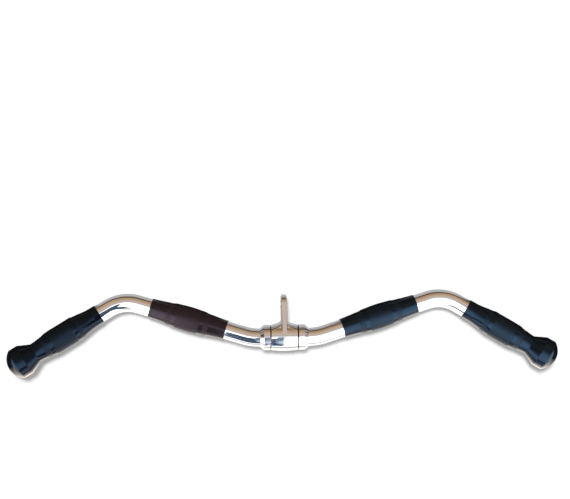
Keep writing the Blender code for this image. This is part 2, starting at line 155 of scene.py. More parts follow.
def share(name, description, default):
    """A number from 0 to 1."""
    return FloatProperty(
        name=name, description=description, default=default, min=0.0, max=1.0, subtype="FACTOR"
    )


def colour(name, description, default):
    """A linear colour."""
    return FloatVectorProperty(
        name=name, description=description, default=default, min=0.0, size=3, subtype="COLOR"
    )


# Properties


class CURLBAR_PG_rod(bpy.types.PropertyGroup):
    """Sizes of the bent steel bar."""

    diameter: length("Diameter", "Thickness of the bar", 0.025)
    end_chamfer: length("End chamfer", "Chamfer at the bar's ends, inside the grips", 0.0012)
    inner_bend: turn("Inner bend", "How far the bar turns beside the hub", 17.4)
    inner_bend_radius: length("Inner bend radius", "Radius of the bend beside the hub", 0.075)
    peak_bend: turn("Peak bend", "How far the bar turns at its peak", 48.7)
    peak_bend_radius: length("Peak bend radius", "Radius of the bend at the peak", 0.050)
    bare_by_collar: length("Bare by collar", "Bare bar between collar and bend", 0.0005)
    bare_before_inner: length("Bare before inner grip", "Bare bar before the inner grip", 0.0259)
    bare_after_inner: length("Bare after inner grip", "Bare bar after the inner grip", 0.0181)
    bare_before_outer: length("Bare before outer grip", "Bare bar before the outer grip", 0.0147)


class CURLBAR_PG_hub(bpy.types.PropertyGroup):
    """Sizes of the hanger, its bushes, the collars and their screws."""

    seat_gap: length("Seat gap", "Clearance between pieces that seat on each other", 0.0003)
    end_play: length("End play", "Clearance between bush and collar", 0.0002)
    running_gap: length("Running gap", "Clearance between bush and bar", 0.00006)
    screw_gap: length("Screw gap", "Clearance round the set screw and under it", 0.0002)
    bush_wall: length("Bush wall", "Wall of the bush", 0.0018)
    bush_length: length("Bush length", "Length of the bush inside the sleeve", 0.0145)
    flange_thickness: length("Flange thickness", "Thickness of the bush's flange", 0.0008)
    flange_reach: length("Flange reach", "How far the flange stands out", 0.0022)
    bush_edge: length("Bush edge", "Edge break of the bush", 0.0001)
    sleeve_wall: length("Sleeve wall", "Wall of the hanger's sleeve", 0.0029)
    sleeve_length: length("Sleeve length", "Length of the hanger's sleeve", 0.0370)
    sleeve_crown: length("Sleeve crown", "How much the sleeve swells in its middle", 0.0012)
    sleeve_edge: length("Sleeve edge", "Edge break of the sleeve", 0.0005)
    collar_wall: length("Collar wall", "Wall of the collar", 0.0050)
    collar_flat: length("Collar flat", "Length of the collar's cylinder", 0.0085)
    collar_cone: length("Collar cone", "Length of the collar's cone", 0.0050)
    collar_foot_wall: length("Collar foot wall", "Wall at the cone's small end", 0.0008)
    edge_round: length("Edge round", "Rounding of the collars' turned edges", 0.0004)
    screw_diameter: length("Screw diameter", "Diameter of the set screw", 0.0056)
    screw_recess: length("Screw recess", "How deep the set screw sits", 0.0004)
    socket_flats: length("Socket flats", "Hex socket across its flats", 0.0030)
    socket_depth: length("Socket depth", "Depth of the hex socket", 0.0024)
    tab_thickness: length("Tab thickness", "Thickness of the eye tab", 0.0084)
    eye_height: length("Eye height", "From the hub's axis to the eye's centre", 0.0445)
    eye_diameter: length("Eye diameter", "Diameter of the eye", 0.0150)
    eye_rim: length("Eye rim", "Metal round the eye", 0.0080)
    eye_round: length("Eye round", "Rounding of the eye's edges", 0.0010)
    rim_round: length("Rim round", "Rounding of the tab's outer edge", 0.0026)
    fairing_slope: turn("Fairing slope", "Slope from the sleeve's end up to the tab", 14.5)
    fairing_fillet: length("Fairing fillet", "Fillet between sleeve and tab", 0.0080)
    fairing_spread: turn("Fairing spread", "Angle over which the fairing fades", 90.0)
    fairing_ease: share("Fairing ease", "How fast the fairing may rise over the tab's rim", 0.25)
    fairing_blend: length("Fairing blend", "How softly the fairing meets the tab's rim", 0.0030)


class CURLBAR_PG_grips(bpy.types.PropertyGroup):
    """Sizes of the rubber grips."""

    end_wall: length("End wall", "Wall of the rubber at the grip's ends", 0.0007)
    swell_wall: length("Swell wall", "Wall of the rubber at its fullest", 0.0043)
    neck_wall: length("Neck wall", "Wall of the rubber at the outer grip's neck", 0.0010)
    lip: length("Lip", "Rounding of the grip's mouth", 0.0003)
    rib_height: length("Rib height", "How far the glossy ribs stand out", 0.0003)
    matt_depth: length("Matt depth", "How deep the matt bands lie", 0.0002)
    inner_cuff: length("Inner cuff", "Glossy cuff of the inner grip", 0.0243)
    inner_matt: length("Inner matt band", "Matt band of the inner grip", 0.0068)
    inner_rib: length("Inner rib", "Glossy rib of the inner grip", 0.0070)
    inner_knurl: length("Inner knurl", "Knurled band of the inner grip", 0.0327)
    outer_cuff: length("Outer cuff", "Glossy cuff of the outer grip", 0.0295)
    outer_matt: length("Outer matt band", "Matt band of the outer grip", 0.0070)
    outer_rib: length("Outer rib", "Glossy rib of the outer grip", 0.0065)
    outer_knurl: length("Outer knurl", "Knurled band of the outer grip", 0.0325)
    outer_neck: length("Outer neck", "Neck between the outer grip's bands and its bulb", 0.0130)
    cone_length: length("Cone length", "Length of the bulb's cone", 0.0165)
    bulb_length: length("Bulb length", "Length of the bulb's cylinder", 0.0125)
    bulb_diameter: length("Bulb diameter", "Thickness of the bulb", 0.0434)
    cone_edge: length("Cone edge", "Rounding at both ends of the cone", 0.0024)
    brim_edge: length("Brim edge", "Rounding between the bulb and its domed end", 0.0018)
    bulb_crown: length("Bulb crown", "Height of the bulb's domed end", 0.0120)
    bulb_end_wall: length("Bulb end wall", "Rubber between the bar's end and the bulb's", 0.0160)
    knurl_pitch: length("Knurl pitch", "Length of one diamond along the grip", 0.0018)
    knurl_height: length("Knurl height", "Height of a diamond over its valleys", 0.00024)
    step: length("Step", "Distance between the rings of faces", 0.0011)


class CURLBAR_PG_finishes(bpy.types.PropertyGroup):
    """Colours and gloss of the materials."""

    chrome: colour("Chrome", "Colour of the chrome plate", (0.67, 0.675, 0.685))
    chrome_edge: colour("Chrome edge", "Tint of the chrome at a grazing angle", (0.86, 0.88, 0.90))
    chrome_smoothest: share("Chrome smoothest", "Lowest roughness of the chrome", 0.035)
    chrome_roughest: share("Chrome roughest", "Highest roughness of the chrome", 0.075)
    rubber_dark: colour("Rubber dark", "Darker tone of the rubber", (0.0018, 0.0018, 0.0022))
    rubber_light: colour("Rubber light", "Lighter tone of the rubber", (0.0040, 0.0042, 0.0050))
    # The blue of the rubber's gloss is painted reflection: it stands in for the bluish light that
    # the black rubber mirrors
    rubber_blue_light_tint: colour("Rubber gloss", "Tint of the rubber's gloss", (0.28, 0.58, 1.0))
    rubber_specular: share("Rubber specular", "Strength of the rubber's gloss", 0.36)
    # The warm and dim tones below are the same rubber under other light: painted light, for grips
    # that mirror a warmer or darker part of the room
    warm_lit_dark: colour("Warm dark", "Darker tone of the warm rubber", (0.010, 0.0055, 0.007))
    warm_lit_pale: colour("Warm light", "Lighter tone of the warm rubber", (0.015, 0.009, 0.010))
    warm_lit_tint: colour("Warm gloss", "Tint of the warm rubber's gloss", (0.60, 0.52, 0.66))
    dim_lit_tint: colour("Dull gloss", "Tint of the dull rubber's gloss", (0.20, 0.37, 0.66))
    gloss_roughness: share("Gloss roughness", "Roughness of cuffs, ribs and bulbs", 0.20)
    matt_roughness: share("Matt roughness", "Roughness of the matt bands", 0.46)
    knurl_roughness: share("Knurl roughness", "Roughness of the knurled bands", 0.40)
    # The bushes are darker than their bronze: painted shade, which keeps the seams beside them dark
    bronze: colour("Bronze", "Colour of the oiled bushes", (0.04, 0.026, 0.02))
    black_steel: colour("Black steel", "Colour of the set screws", (0.06, 0.06, 0.065))


class CURLBAR_PG_studio(bpy.types.PropertyGroup):
    """The floor, the light and the camera."""

    floor: colour("Floor", "Colour of the floor", (0.75, 0.75, 0.75))
    floor_glow: share("Floor glow", "How much the floor shines by itself in the picture", 0.30)
    floor_half: length("Floor half width", "Half of the floor's width", 14.0)
    silver: colour("Mirrored floor", "The floor as the chrome mirrors it", (0.70, 0.685, 0.68))
    far_off: colour("Far floor", "The mirrored floor further behind the bar", (0.56, 0.50, 0.465))
    shade: colour("Shaded floor", "The mirrored floor behind the grips", (0.04, 0.04, 0.04))
    shade_edge: length("Shade edge", "How softly the dark of the mirrored floor begins", 0.006)
    near_side: colour("Near floor", "The mirrored floor on the camera's side", (1.40, 1.38, 1.34))
    near_line: colour("Near line", "A grey strip across the near floor", (0.62, 0.62, 0.63))
    near_glow: colour("Near glow", "The mirrored floor right beside the bar", (1.9, 1.8, 1.65))
    bulb_glow: colour("Bulb glow", "The mirrored floor beside the bulbs", (5.4, 4.6, 3.9))
    under_bulb: colour("Bulb base", "The mirrored floor below the bulbs", (0.95, 0.82, 0.68))
    low_wall: colour("Low wall", "The dark strip over the mirrored floor", (0.08, 0.062, 0.045))
    silver_wall: colour("Silver wall", "The strip where the floor ends", (0.60, 0.53, 0.49))
    left_wall: colour("Left wall", "The mirrored wall to the left", (0.36, 0.29, 0.235))
    right_wall: colour("Right wall", "The mirrored wall to the right", (0.72, 0.67, 0.63))
    card_dark: colour("Card dark", "Darker tone of the mirrored cards", (0.09, 0.13, 0.20))
    card_light: colour("Card light", "Lighter tone of the mirrored cards", (0.72, 0.88, 1.12))
    hub_card_height: length("Hub card height", "Height of the card by the hub", 0.30)
    bend_card_height: length("Bend card height", "Height of the card by the left bend", 0.03)
    sky: share("Sky", "Share of the light that comes from all round", 0.15)
    sun_height: turn("Sun height", "Height of the soft lamp over the floor", 76.3)
    sun_side: turn("Sun side", "Direction of the soft lamp, from -X round to +Y", 64.0)
    sun_size: turn("Sun size", "Apparent width of the soft lamp", 15.0)
    room_level: amount("Room level", "Brightness of the room in reflections", 4.6)
    camera_distance: length("Camera distance", "Height of the camera over the hub", 1.70)
    camera_side: offset("Camera side", "The camera's place along X", -0.0725)
    camera_back: offset("Camera back", "The camera's place along Y", -0.0594)
    aim_side: offset("Aim side", "Where the camera aims along X", 0.0031)
    aim_back: offset("Aim back", "Where the camera aims along Y", 0.1223)
    roll: turn("Roll", "How far the picture is turned", 1.0)
    lens: amount("Lens", "Focal length in millimetres", 77.23)


# Sizes that follow from the properties


class Layout:
    """Radii, lengths and places that follow from the scene's properties."""

    def __init__(self, scene):
        self.rod = scene.curl_bar_rod
        self.hub = scene.curl_bar_hub
        self.grips = scene.curl_bar_grips
        self.set_radii()
        self.set_lengths()
        self.set_centre_line()
        self.set_lie()

    def set_radii(self):
        """Radii round the bar, the hub and the grips."""
        self.bar_radius = self.rod.diameter / 2
        self.seat_radius = self.bar_radius + self.hub.seat_gap
        self.bush_bore_radius = self.bar_radius + self.hub.running_gap
        self.bush_radius = self.bar_radius + self.hub.bush_wall
        self.sleeve_bore_radius = self.bush_radius + self.hub.seat_gap
        self.sleeve_radius = self.sleeve_bore_radius + self.hub.sleeve_wall
        self.collar_radius = self.bar_radius + self.hub.collar_wall
        self.eye_outer_radius = self.hub.eye_diameter / 2 + self.hub.eye_rim
        self.grip_end_radius = self.seat_radius + self.grips.end_wall
        self.grip_swell_radius = self.seat_radius + self.grips.swell_wall
        self.neck_radius = self.seat_radius + self.grips.neck_wall
        self.bulb_radius = self.grips.bulb_diameter / 2

    def set_lengths(self):
        """Lengths along the bar."""
        rod, hub, grips = self.rod, self.hub, self.grips
        self.sleeve_half = hub.sleeve_length / 2
        self.flange_face = self.sleeve_half + hub.seat_gap + hub.flange_thickness
        self.collar_start = self.flange_face + hub.end_play
        self.collar_length = hub.collar_flat + hub.collar_cone
        self.hub_straight = self.collar_start + self.collar_length + rod.bare_by_collar
        inner_end_bands = grips.inner_cuff + grips.inner_matt + grips.inner_rib
        self.inner_grip = 2 * inner_end_bands + grips.inner_knurl
        ribs = 2 * (grips.outer_matt + grips.outer_rib)
        self.outer_bands = grips.outer_cuff + ribs + grips.outer_knurl + grips.outer_neck
        self.bulb_start = self.outer_bands + grips.cone_length
        self.outer_grip = self.bulb_start + grips.bulb_length + grips.bulb_crown
        self.outer_bore = self.outer_grip - grips.bulb_end_wall
        self.inner_straight = rod.bare_before_inner + self.inner_grip + rod.bare_after_inner
        self.outer_straight = rod.bare_before_outer + self.outer_bore - hub.seat_gap
        self.outer_fall = rod.inner_bend - rod.peak_bend

    def set_centre_line(self):
        """Ends of the straights on the right half's centre line, and where the grips start."""
        rod = self.rod
        self.hub_end = Vector((self.hub_straight, 0.0, 0.0))
        inner_start = after_bend(self.hub_end, 0.0, rod.inner_bend_radius, rod.inner_bend)
        self.inner_way = heading_vector(rod.inner_bend)
        self.inner_end = inner_start + self.inner_straight * self.inner_way
        peak = (self.inner_end, rod.inner_bend, rod.peak_bend_radius, -rod.peak_bend)
        outer_start = after_bend(*peak)
        self.outer_way = heading_vector(self.outer_fall)
        self.inner_grip_at = inner_start + rod.bare_before_inner * self.inner_way
        self.outer_grip_at = outer_start + rod.bare_before_outer * self.outer_way

    def set_lie(self):
        """How the bar and its hanger lie on the floor."""
        bulb = self.outer_grip_at + self.bulb_start * self.outer_way
        grip = self.inner_grip_at + self.inner_grip / 2 * self.inner_way
        tilt = asin((self.bulb_radius - self.grip_swell_radius) / (grip.y - bulb.y))
        height = self.bulb_radius + bulb.y * sin(tilt)
        droop = asin((height - self.eye_outer_radius) / self.hub.eye_height)
        self.bar_place = Matrix.Translation(HUB) @ Matrix.Rotation(-tilt, 4, "X")
        self.hanger_place = Matrix.Translation(HUB) @ Matrix.Rotation(-droop, 4, "X")


# Shaping


def heading_vector(heading):
    """The direction of a heading, counted from +X towards +Y."""
    return Vector((cos(heading), sin(heading), 0.0))


def bend_centre(at, heading, radius, angle):
    """The centre of a bend that turns left for a positive angle."""
    side = 1.0 if angle > 0 else -1.0
    return at + side * radius * Vector((-sin(heading), cos(heading), 0.0))


def after_bend(at, heading, radius, angle):
    """Where the bar's centre line comes out of a bend."""
    centre = bend_centre(at, heading, radius, angle)
    return centre + Matrix.Rotation(angle, 3, "Z") @ (at - centre)


def spaced(start, end, steps):
    """Evenly spaced numbers, both ends included."""
    return [start + (end - start) * step / steps for step in range(steps + 1)]


def points_between(start, end, steps):
    """Evenly spaced points on the way between two points, without the two."""
    start, end = Vector(start), Vector(end)
    return [tuple(start.lerp(end, step / steps)) for step in range(1, steps)]


def arc(centre, radius, start, end, steps):
    """Points of an arc, both ends included."""
    angles = spaced(start, end, steps)
    return [(centre[0] + radius * cos(angle), centre[1] + radius * sin(angle)) for angle in angles]


def rounded_corner(before, corner, after, radius, steps):
    """Points of the arc that rounds off a corner between two straight lines."""
    before, corner, after = Vector(before), Vector(corner), Vector(after)
    back = (before - corner).normalized()
    ahead = (after - corner).normalized()
    half_angle = back.angle(ahead) / 2
    middle = (back + ahead).normalized()
    centre = corner + middle * radius / sin(half_angle)
    start = corner + back * radius / tan(half_angle) - centre
    sweep = start.angle_signed(corner + ahead * radius / tan(half_angle) - centre)
    turns = [Matrix.Rotation(-sweep * step / steps, 2) for step in range(steps + 1)]
    return [tuple(centre + spun @ start) for spun in turns]


def smooth_rise(value, start, end):
    """0 before start, 1 after end, with a smooth rise between."""
    part = min(max((value - start) / (end - start), 0.0), 1.0)
    return part * part * (3.0 - 2.0 * part)


def smooth_lower(first, second, blend):
    """The lower of two lengths, rounded off where they are within blend of each other."""
    near = max(blend - abs(first - second), 0.0) / blend
    return min(first, second) - near * near * blend / 4


def turned(outline, sides):
    """Turns an outline of (x, radius) points round the X axis. It may start and end on the axis."""
    bm = bmesh.new()
    verts = [bm.verts.new((x, 0.0, radius)) for x, radius in outline]
    edges = [bm.edges.new(pair) for pair in zip(verts, verts[1:])]
    if outline[0][1] > 0.0 or outline[-1][1] > 0.0:
        edges.append(bm.edges.new((verts[-1], verts[0])))
    bmesh.ops.spin(
        bm,
        geom=verts + edges,
        cent=(0.0, 0.0, 0.0),
        axis=(1.0, 0.0, 0.0),
        angle=2 * pi,
        steps=sides,
        use_merge=True,
    )
    bmesh.ops.remove_doubles(bm, verts=bm.verts[:], dist=TURNED_MERGE)
    bmesh.ops.recalc_face_normals(bm, faces=bm.faces[:])
    return bm


def round_edges(bm, radius):
    """Rounds the edges where two faces meet at a sharp angle."""
    sharp = [edge for edge in bm.edges if edge.calc_face_angle(0.0) > SHARP_ANGLE]
    bmesh.ops.bevel(
        bm,
        geom=sharp,
        offset=radius,
        offset_type="OFFSET",
        segments=BEVEL_SEGMENTS,
        profile=0.5,
        affect="EDGES",
        clamp_overlap=True,
        material=-1,
    )


def far_ring(geometry):
    """The ring of edges that an extrusion or a spin ends with."""
    verts = {item for item in geometry if isinstance(item, bmesh.types.BMVert)}
    edges = [item for item in geometry if isinstance(item, bmesh.types.BMEdge)]
    return [edge for edge in edges if set(edge.verts) <= verts]


def extend(bm, ring, step):
    """Extrudes a ring of edges along a step."""
    geometry = bmesh.ops.extrude_edge_only(bm, edges=ring)["geom"]
    verts = [item for item in geometry if isinstance(item, bmesh.types.BMVert)]
    bmesh.ops.translate(bm, verts=verts, vec=step)
    return far_ring(geometry)


def narrow(bm, ring, factor):
    """Scales a ring of edges round its own middle."""
    verts = list({vert for edge in ring for vert in edge.verts})
    middle = sum((vert.co for vert in verts), Vector()) / len(verts)
    space = Matrix.Translation(-middle)
    bmesh.ops.scale(bm, verts=verts, vec=(factor, factor, factor), space=space)


def link_mesh(name, bm):
    """Turns a bmesh into an object in the scene, with its faces pointing outwards."""
    bmesh.ops.recalc_face_normals(bm, faces=bm.faces[:])
    mesh = bpy.data.meshes.new(name)
    bm.to_mesh(mesh)
    bm.free()
    obj = bpy.data.objects.new(name, mesh)
    bpy.context.scene.collection.objects.link(obj)
    return obj


def cut_away(bm, tool):
    """Cuts one bmesh out of another and returns what is left."""
    blank = link_mesh("blank", bm)
    cutter = link_mesh("cutter", tool)
    boolean = blank.modifiers.new("cut", "BOOLEAN")
    boolean.operation = "DIFFERENCE"
    boolean.solver = "EXACT"
    boolean.object = cutter
    graph = bpy.context.evaluated_depsgraph_get()
    result = bmesh.new()
    result.from_mesh(blank.evaluated_get(graph).to_mesh())
    blank.evaluated_get(graph).to_mesh_clear()
    for obj in (blank, cutter):
        mesh = obj.data
        bpy.data.objects.remove(obj)
        bpy.data.meshes.remove(mesh)
    return result


def finish_piece(name, bm, place, finishes, body, node):
    """Puts a bmesh in its place, as the piece that stands for a node of the frame."""
    bmesh.ops.transform(bm, matrix=place, verts=bm.verts[:])
    piece = link_mesh(name, bm)
    piece.data.set_sharp_from_angle(angle=SHARP_ANGLE)
    for finish in finishes:
        piece.data.materials.append(finish)
    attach(piece, body)
    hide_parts(node)
    return piece


def shade_smooth(bm):
    """Marks every face as smooth."""
    for face in bm.faces:
        face.smooth = True


def even_shading(piece):
    """Keeps the flat faces of a machined piece even beside its rounded edges."""
    weighted = piece.modifiers.new("even_shading", "WEIGHTED_NORMAL")
    weighted.keep_sharp = True


# Materials

# The noise mostly stays between these two, and moves the roughness this far up and down
NOISE_RANGE = (0.30, 0.70)
RUBBER_UNEVENNESS = 0.04
METAL_UNEVENNESS = 0.08


def new_material(name):
    """A material with its node tree and its Principled shader."""
    material = bpy.data.materials.new(name)
    material.use_nodes = True
    tree = material.node_tree
    return material, tree, tree.nodes["Principled BSDF"]


def feed(tree, socket, value):
    """Gives a socket a number, a colour or the output of another node."""
    if isinstance(value, bpy.types.NodeSocket):
        tree.links.new(value, socket)
    elif socket.type == "RGBA":
        socket.default_value = (*value, 1.0)
    else:
        socket.default_value = value


def coordinates(tree, kind):
    """The X, Y and Z of a piece's own coordinates, or of a direction in the world."""
    axes = tree.nodes.new("ShaderNodeSeparateXYZ")
    feed(tree, axes.inputs["Vector"], tree.nodes.new("ShaderNodeTexCoord").outputs[kind])
    return axes.outputs


def add_noise(tree, scale, detail):
    """Noise on the piece's own coordinates."""
    noise = tree.nodes.new("ShaderNodeTexNoise")
    feed(tree, noise.inputs["Scale"], scale)
    feed(tree, noise.inputs["Detail"], detail)
    feed(tree, noise.inputs["Vector"], tree.nodes.new("ShaderNodeTexCoord").outputs["Object"])
    return noise.outputs["Fac"]


def add_maths(tree, operation, *values):
    """A Math node fed by sockets or plain numbers."""
    node = tree.nodes.new("ShaderNodeMath")
    node.operation = operation
    for socket, value in zip(node.inputs, values):
        feed(tree, socket, value)
    return node.outputs[0]


def add_range(tree, value, old, new, interpolation="LINEAR"):
    """Maps a value from one range to another."""
    node = tree.nodes.new("ShaderNodeMapRange")
    node.interpolation_type = interpolation
    for name, number in zip(("From Min", "From Max", "To Min", "To Max"), (*old, *new)):
        node.inputs[name].default_value = number
    feed(tree, node.inputs["Value"], value)
    return node.outputs["Result"]


def add_step(tree, value, edge):
    """0 where the value is before the edge's start and 1 where it is past its end."""
    return add_range(tree, value, edge, (0.0, 1.0), "SMOOTHSTEP")


def add_band(tree, value, start, end):
    """1 between two edges and 0 outside them. The end is given from its outside in."""
    return add_maths(tree, "MULTIPLY", add_step(tree, value, start), add_step(tree, value, end))


def mix_colours(tree, factor, first, second):
    """A colour between two colours or sockets."""
    mix = tree.nodes.new("ShaderNodeMix")
    mix.data_type = "RGBA"
    feed(tree, mix.inputs["Factor"], factor)
    for name, value in (("A", first), ("B", second)):
        socket = next(item for item in mix.inputs if item.name == name and item.type == "RGBA")
        feed(tree, socket, value)
    return next(item for item in mix.outputs if item.type == "RGBA")


def vary_roughness(tree, shader, source, low, high):
    """Lets the roughness wander between two values."""
    wandering = add_range(tree, source, NOISE_RANGE, (low, high))
    feed(tree, shader.inputs["Roughness"], wandering)


def add_bump(tree, shader, source, strength, depth):
    """Fine relief on the surface."""
    bump = tree.nodes.new("ShaderNodeBump")
    feed(tree, bump.inputs["Strength"], strength)
    feed(tree, bump.inputs["Distance"], depth)
    feed(tree, bump.inputs["Height"], source)
    feed(tree, shader.inputs["Normal"], bump.outputs["Normal"])


def chrome_plate(name, finishes, ripple):
    """Polished chrome plate, with the faint unevenness of the steel under it."""
    material, tree, shader = new_material(name)
    feed(tree, shader.inputs["Base Color"], finishes.chrome)
    feed(tree, shader.inputs["Specular Tint"], finishes.chrome_edge)
    feed(tree, shader.inputs["Metallic"], 1.0)
    smudges = add_noise(tree, scale=38.0, detail=4.0)
    vary_roughness(tree, shader, smudges, finishes.chrome_smoothest, finishes.chrome_roughest)
    waves = add_noise(tree, scale=120.0, detail=2.0)
    add_bump(tree, shader, waves, strength=ripple, depth=0.0001)
    return material


def rubber(name, tones, specular, roughness, grain, strength):
    """Black moulded rubber, with the grain that its mould leaves."""
    dark, light, gloss = tones
    material, tree, shader = new_material(name)
    bloom = add_noise(tree, scale=55.0, detail=5.0)
    feed(tree, shader.inputs["Base Color"], mix_colours(tree, bloom, dark, light))
    # The gloss tint is painted light: it colours every reflection in the rubber, in place of
    # coloured light in the room
    feed(tree, shader.inputs["Specular Tint"], gloss)
    feed(tree, shader.inputs["Specular IOR Level"], specular)
    uneven = RUBBER_UNEVENNESS
    vary_roughness(tree, shader, bloom, roughness - uneven, roughness + uneven)
    pores = add_noise(tree, scale=grain, detail=3.0)
    add_bump(tree, shader, pores, strength, depth=0.00006)
    return material


def rubber_finishes(finishes, batch):
    """The three finishes of a grip, made once for each look of the one rubber; the looks differ
    only by painted light.
    """
    dark, light = finishes.rubber_dark, finishes.rubber_light
    # Each look is the one rubber under other light: the base tones and gloss tints of the warm and
    # dim looks are painted light
    tones = {
        "blue_lit_rubber": (dark, light, finishes.rubber_blue_light_tint),
        "dim_lit_rubber": (dark, light, finishes.dim_lit_tint),
        "warm_lit_rubber": (finishes.warm_lit_dark, finishes.warm_lit_pale, finishes.warm_lit_tint),
    }[batch]
    specular = finishes.rubber_specular
    made = []
    for finish, roughness, grain, strength in (
        ("gloss", finishes.gloss_roughness, 900.0, 0.10),
        ("matt", finishes.matt_roughness, 2600.0, 0.55),
        ("knurled", finishes.knurl_roughness, 2200.0, 0.35),
    ):
        name = f"{batch}_{finish}"
        known = bpy.data.materials.get(name)
        made.append(known or rubber(name, tones, specular, roughness, grain, strength))
    return made


def dull_metal(name, base, roughness):
    """Bronze or steel that shows only at an edge."""
    material, tree, shader = new_material(name)
    feed(tree, shader.inputs["Base Color"], base)
    feed(tree, shader.inputs["Metallic"], 1.0)
    film = add_noise(tree, scale=400.0, detail=4.0)
    uneven = METAL_UNEVENNESS
    vary_roughness(tree, shader, film, roughness - uneven, roughness + uneven)
    scratches = add_noise(tree, scale=1500.0, detail=2.0)
    add_bump(tree, shader, scratches, strength=0.2, depth=0.00004)
    return material


# The bar


def bend(bm, ring, centre, angle, steps):
    """Spins a ring of edges round the centre of a bend."""
    spun = bmesh.ops.spin(
        bm, geom=ring, cent=centre, axis=(0.0, 0.0, 1.0), angle=angle, steps=steps
    )
    return far_ring(spun["geom_last"])


def rod_mesh(lay):
    """One bent rod, drawn from the middle out to its right end and mirrored."""
    rod = lay.rod
    bm = bmesh.new()
    across = Matrix.Rotation(pi / 2, 4, "Y")
    bmesh.ops.create_circle(bm, radius=lay.bar_radius, segments=ROD_SIDES, matrix=across)
    ring = extend(bm, bm.edges[:], lay.hub_end)
    centre = bend_centre(lay.hub_end, 0.0, rod.inner_bend_radius, rod.inner_bend)
    ring = bend(bm, ring, centre, rod.inner_bend, INNER_BEND_STEPS)
    ring = extend(bm, ring, lay.inner_straight * lay.inner_way)
    centre = bend_centre(lay.inner_end, rod.inner_bend, rod.peak_bend_radius, -rod.peak_bend)
    ring = bend(bm, ring, centre, -rod.peak_bend, PEAK_BEND_STEPS)
    ring = extend(bm, ring, (lay.outer_straight - rod.end_chamfer) * lay.outer_way)
    ring = extend(bm, ring, rod.end_chamfer * lay.outer_way)
    narrow(bm, ring, 1.0 - rod.end_chamfer / lay.bar_radius)
    bmesh.ops.edgeloop_fill(bm, edges=ring)
    geometry = bm.verts[:] + bm.edges[:] + bm.faces[:]
    bmesh.ops.mirror(bm, geom=geometry, axis="X", merge_dist=MIRROR_MERGE)
    shade_smooth(bm)
    return bm


class CURLBAR_OT_rod(bpy.types.Operator):
    """Builds the bent chrome bar"""

    bl_idname = "curl_bar.rod"
    bl_label = "Chrome bar"

    def execute(self, context):
        lay = Layout(context.scene)
        chrome = chrome_plate("chrome_bar", context.scene.curl_bar_finishes, ripple=0.012)
        finish_piece(
            "bent_chrome_bar", rod_mesh(lay), lay.bar_place, [chrome], "bar", "bar"
        )
        return {"FINISHED"}


# The hub


def hub_chrome(context):
    """The chrome of the hanger and the collars, made once."""
    made = bpy.data.materials.get("chrome_hub")
    return made or chrome_plate("chrome_hub", context.scene.curl_bar_finishes, ripple=0.02)


def screw_hole_cutter(lay):
    """The tool that cuts the screw's hole through the collar's wall and widens outside it."""
    hub = lay.hub
    radius = hub.screw_diameter / 2
    outline = [
        (0.0, 0.0),
        (0.0, radius + hub.screw_gap),
        (hub.collar_wall, radius + hub.screw_gap),
        (hub.collar_wall + hub.edge_round, radius + 2 * hub.screw_gap),
        (2 * hub.collar_wall, radius + hub.collar_wall),
        (2 * hub.collar_wall, 0.0),
    ]
    hole = turned(outline, SCREW_SIDES)
    down = Matrix.Translation((hub.collar_flat / 2, 0.0, -lay.bar_radius))
    bmesh.ops.transform(hole, matrix=down @ Matrix.Rotation(pi / 2, 4, "Y"), verts=hole.verts[:])
    return hole


def collar_mesh(lay):
    """A collar from the face that meets the bush's flange, with the hole for its set screw."""
    hub = lay.hub
    foot = lay.bar_radius + hub.collar_foot_wall
    outline = [
        (0.0, lay.seat_radius),
        (0.0, lay.collar_radius),
        (hub.collar_flat, lay.collar_radius),
        (lay.collar_length, foot),
        (lay.collar_length, lay.seat_radius),
    ]
    bm = turned(outline, TURNED_SIDES)
    round_edges(bm, hub.edge_round)
    bm = cut_away(bm, screw_hole_cutter(lay))
    shade_smooth(bm)
    return bm


def along_x(sign, x, inwards=False):
    """Puts a piece that is drawn along +X at x on its side of the bar, facing out or inwards."""
    facing = 0.0 if (sign > 0) != inwards else pi
    return Matrix.Translation((sign * x, 0.0, 0.0)) @ Matrix.Rotation(facing, 4, "Z")


class CURLBAR_OT_collars(bpy.types.Operator):
    """Builds the two chrome collars beside the hanger"""

    bl_idname = "curl_bar.collars"
    bl_label = "Collars"

    def execute(self, context):
        lay = Layout(context.scene)
        chrome = hub_chrome(context)
        for side, sign in SIDES_OF_THE_BAR:
            place = lay.bar_place @ along_x(sign, lay.collar_start)
            node = f"collar_{side}"
            piece = finish_piece(
                f"turned_{node}", collar_mesh(lay), place, [chrome], "bar", node
            )
            even_shading(piece)
        return {"FINISHED"}


def screw_mesh(lay):
    """A socket set screw, standing on its foot along +Z."""
    hub = lay.hub
    radius = hub.screw_diameter / 2
    chamfer = radius * SCREW_CHAMFER
    top = lay.collar_radius - hub.screw_recess
    foot = lay.seat_radius + hub.screw_gap
    bm = bmesh.new()
    at_top = Matrix.Translation((0.0, 0.0, top))
    bmesh.ops.create_circle(bm, radius=radius - chamfer, segments=SCREW_SIDES, matrix=at_top)
    rim = bm.edges[:]
    socket_radius = hub.socket_flats / 2 / cos(pi / HEX_SIDES)
    bmesh.ops.create_circle(bm, radius=socket_radius, segments=HEX_SIDES, matrix=at_top)
    socket = [edge for edge in bm.edges if edge not in rim]
    bmesh.ops.triangle_fill(bm, edges=rim + socket, use_beauty=True)
    socket = extend(bm, socket, Vector((0.0, 0.0, -hub.socket_depth)))
    bmesh.ops.edgeloop_fill(bm, edges=socket)
    side = extend(bm, rim, Vector((0.0, 0.0, -chamfer)))
    narrow(bm, side, radius / (radius - chamfer))
    bottom = extend(bm, side, Vector((0.0, 0.0, foot - top + 2 * chamfer)))
    tip = extend(bm, bottom, Vector((0.0, 0.0, -chamfer)))
    narrow(bm, tip, 1.0 - chamfer / radius)
    bmesh.ops.edgeloop_fill(bm, edges=tip)
    shade_smooth(bm)
    return bm


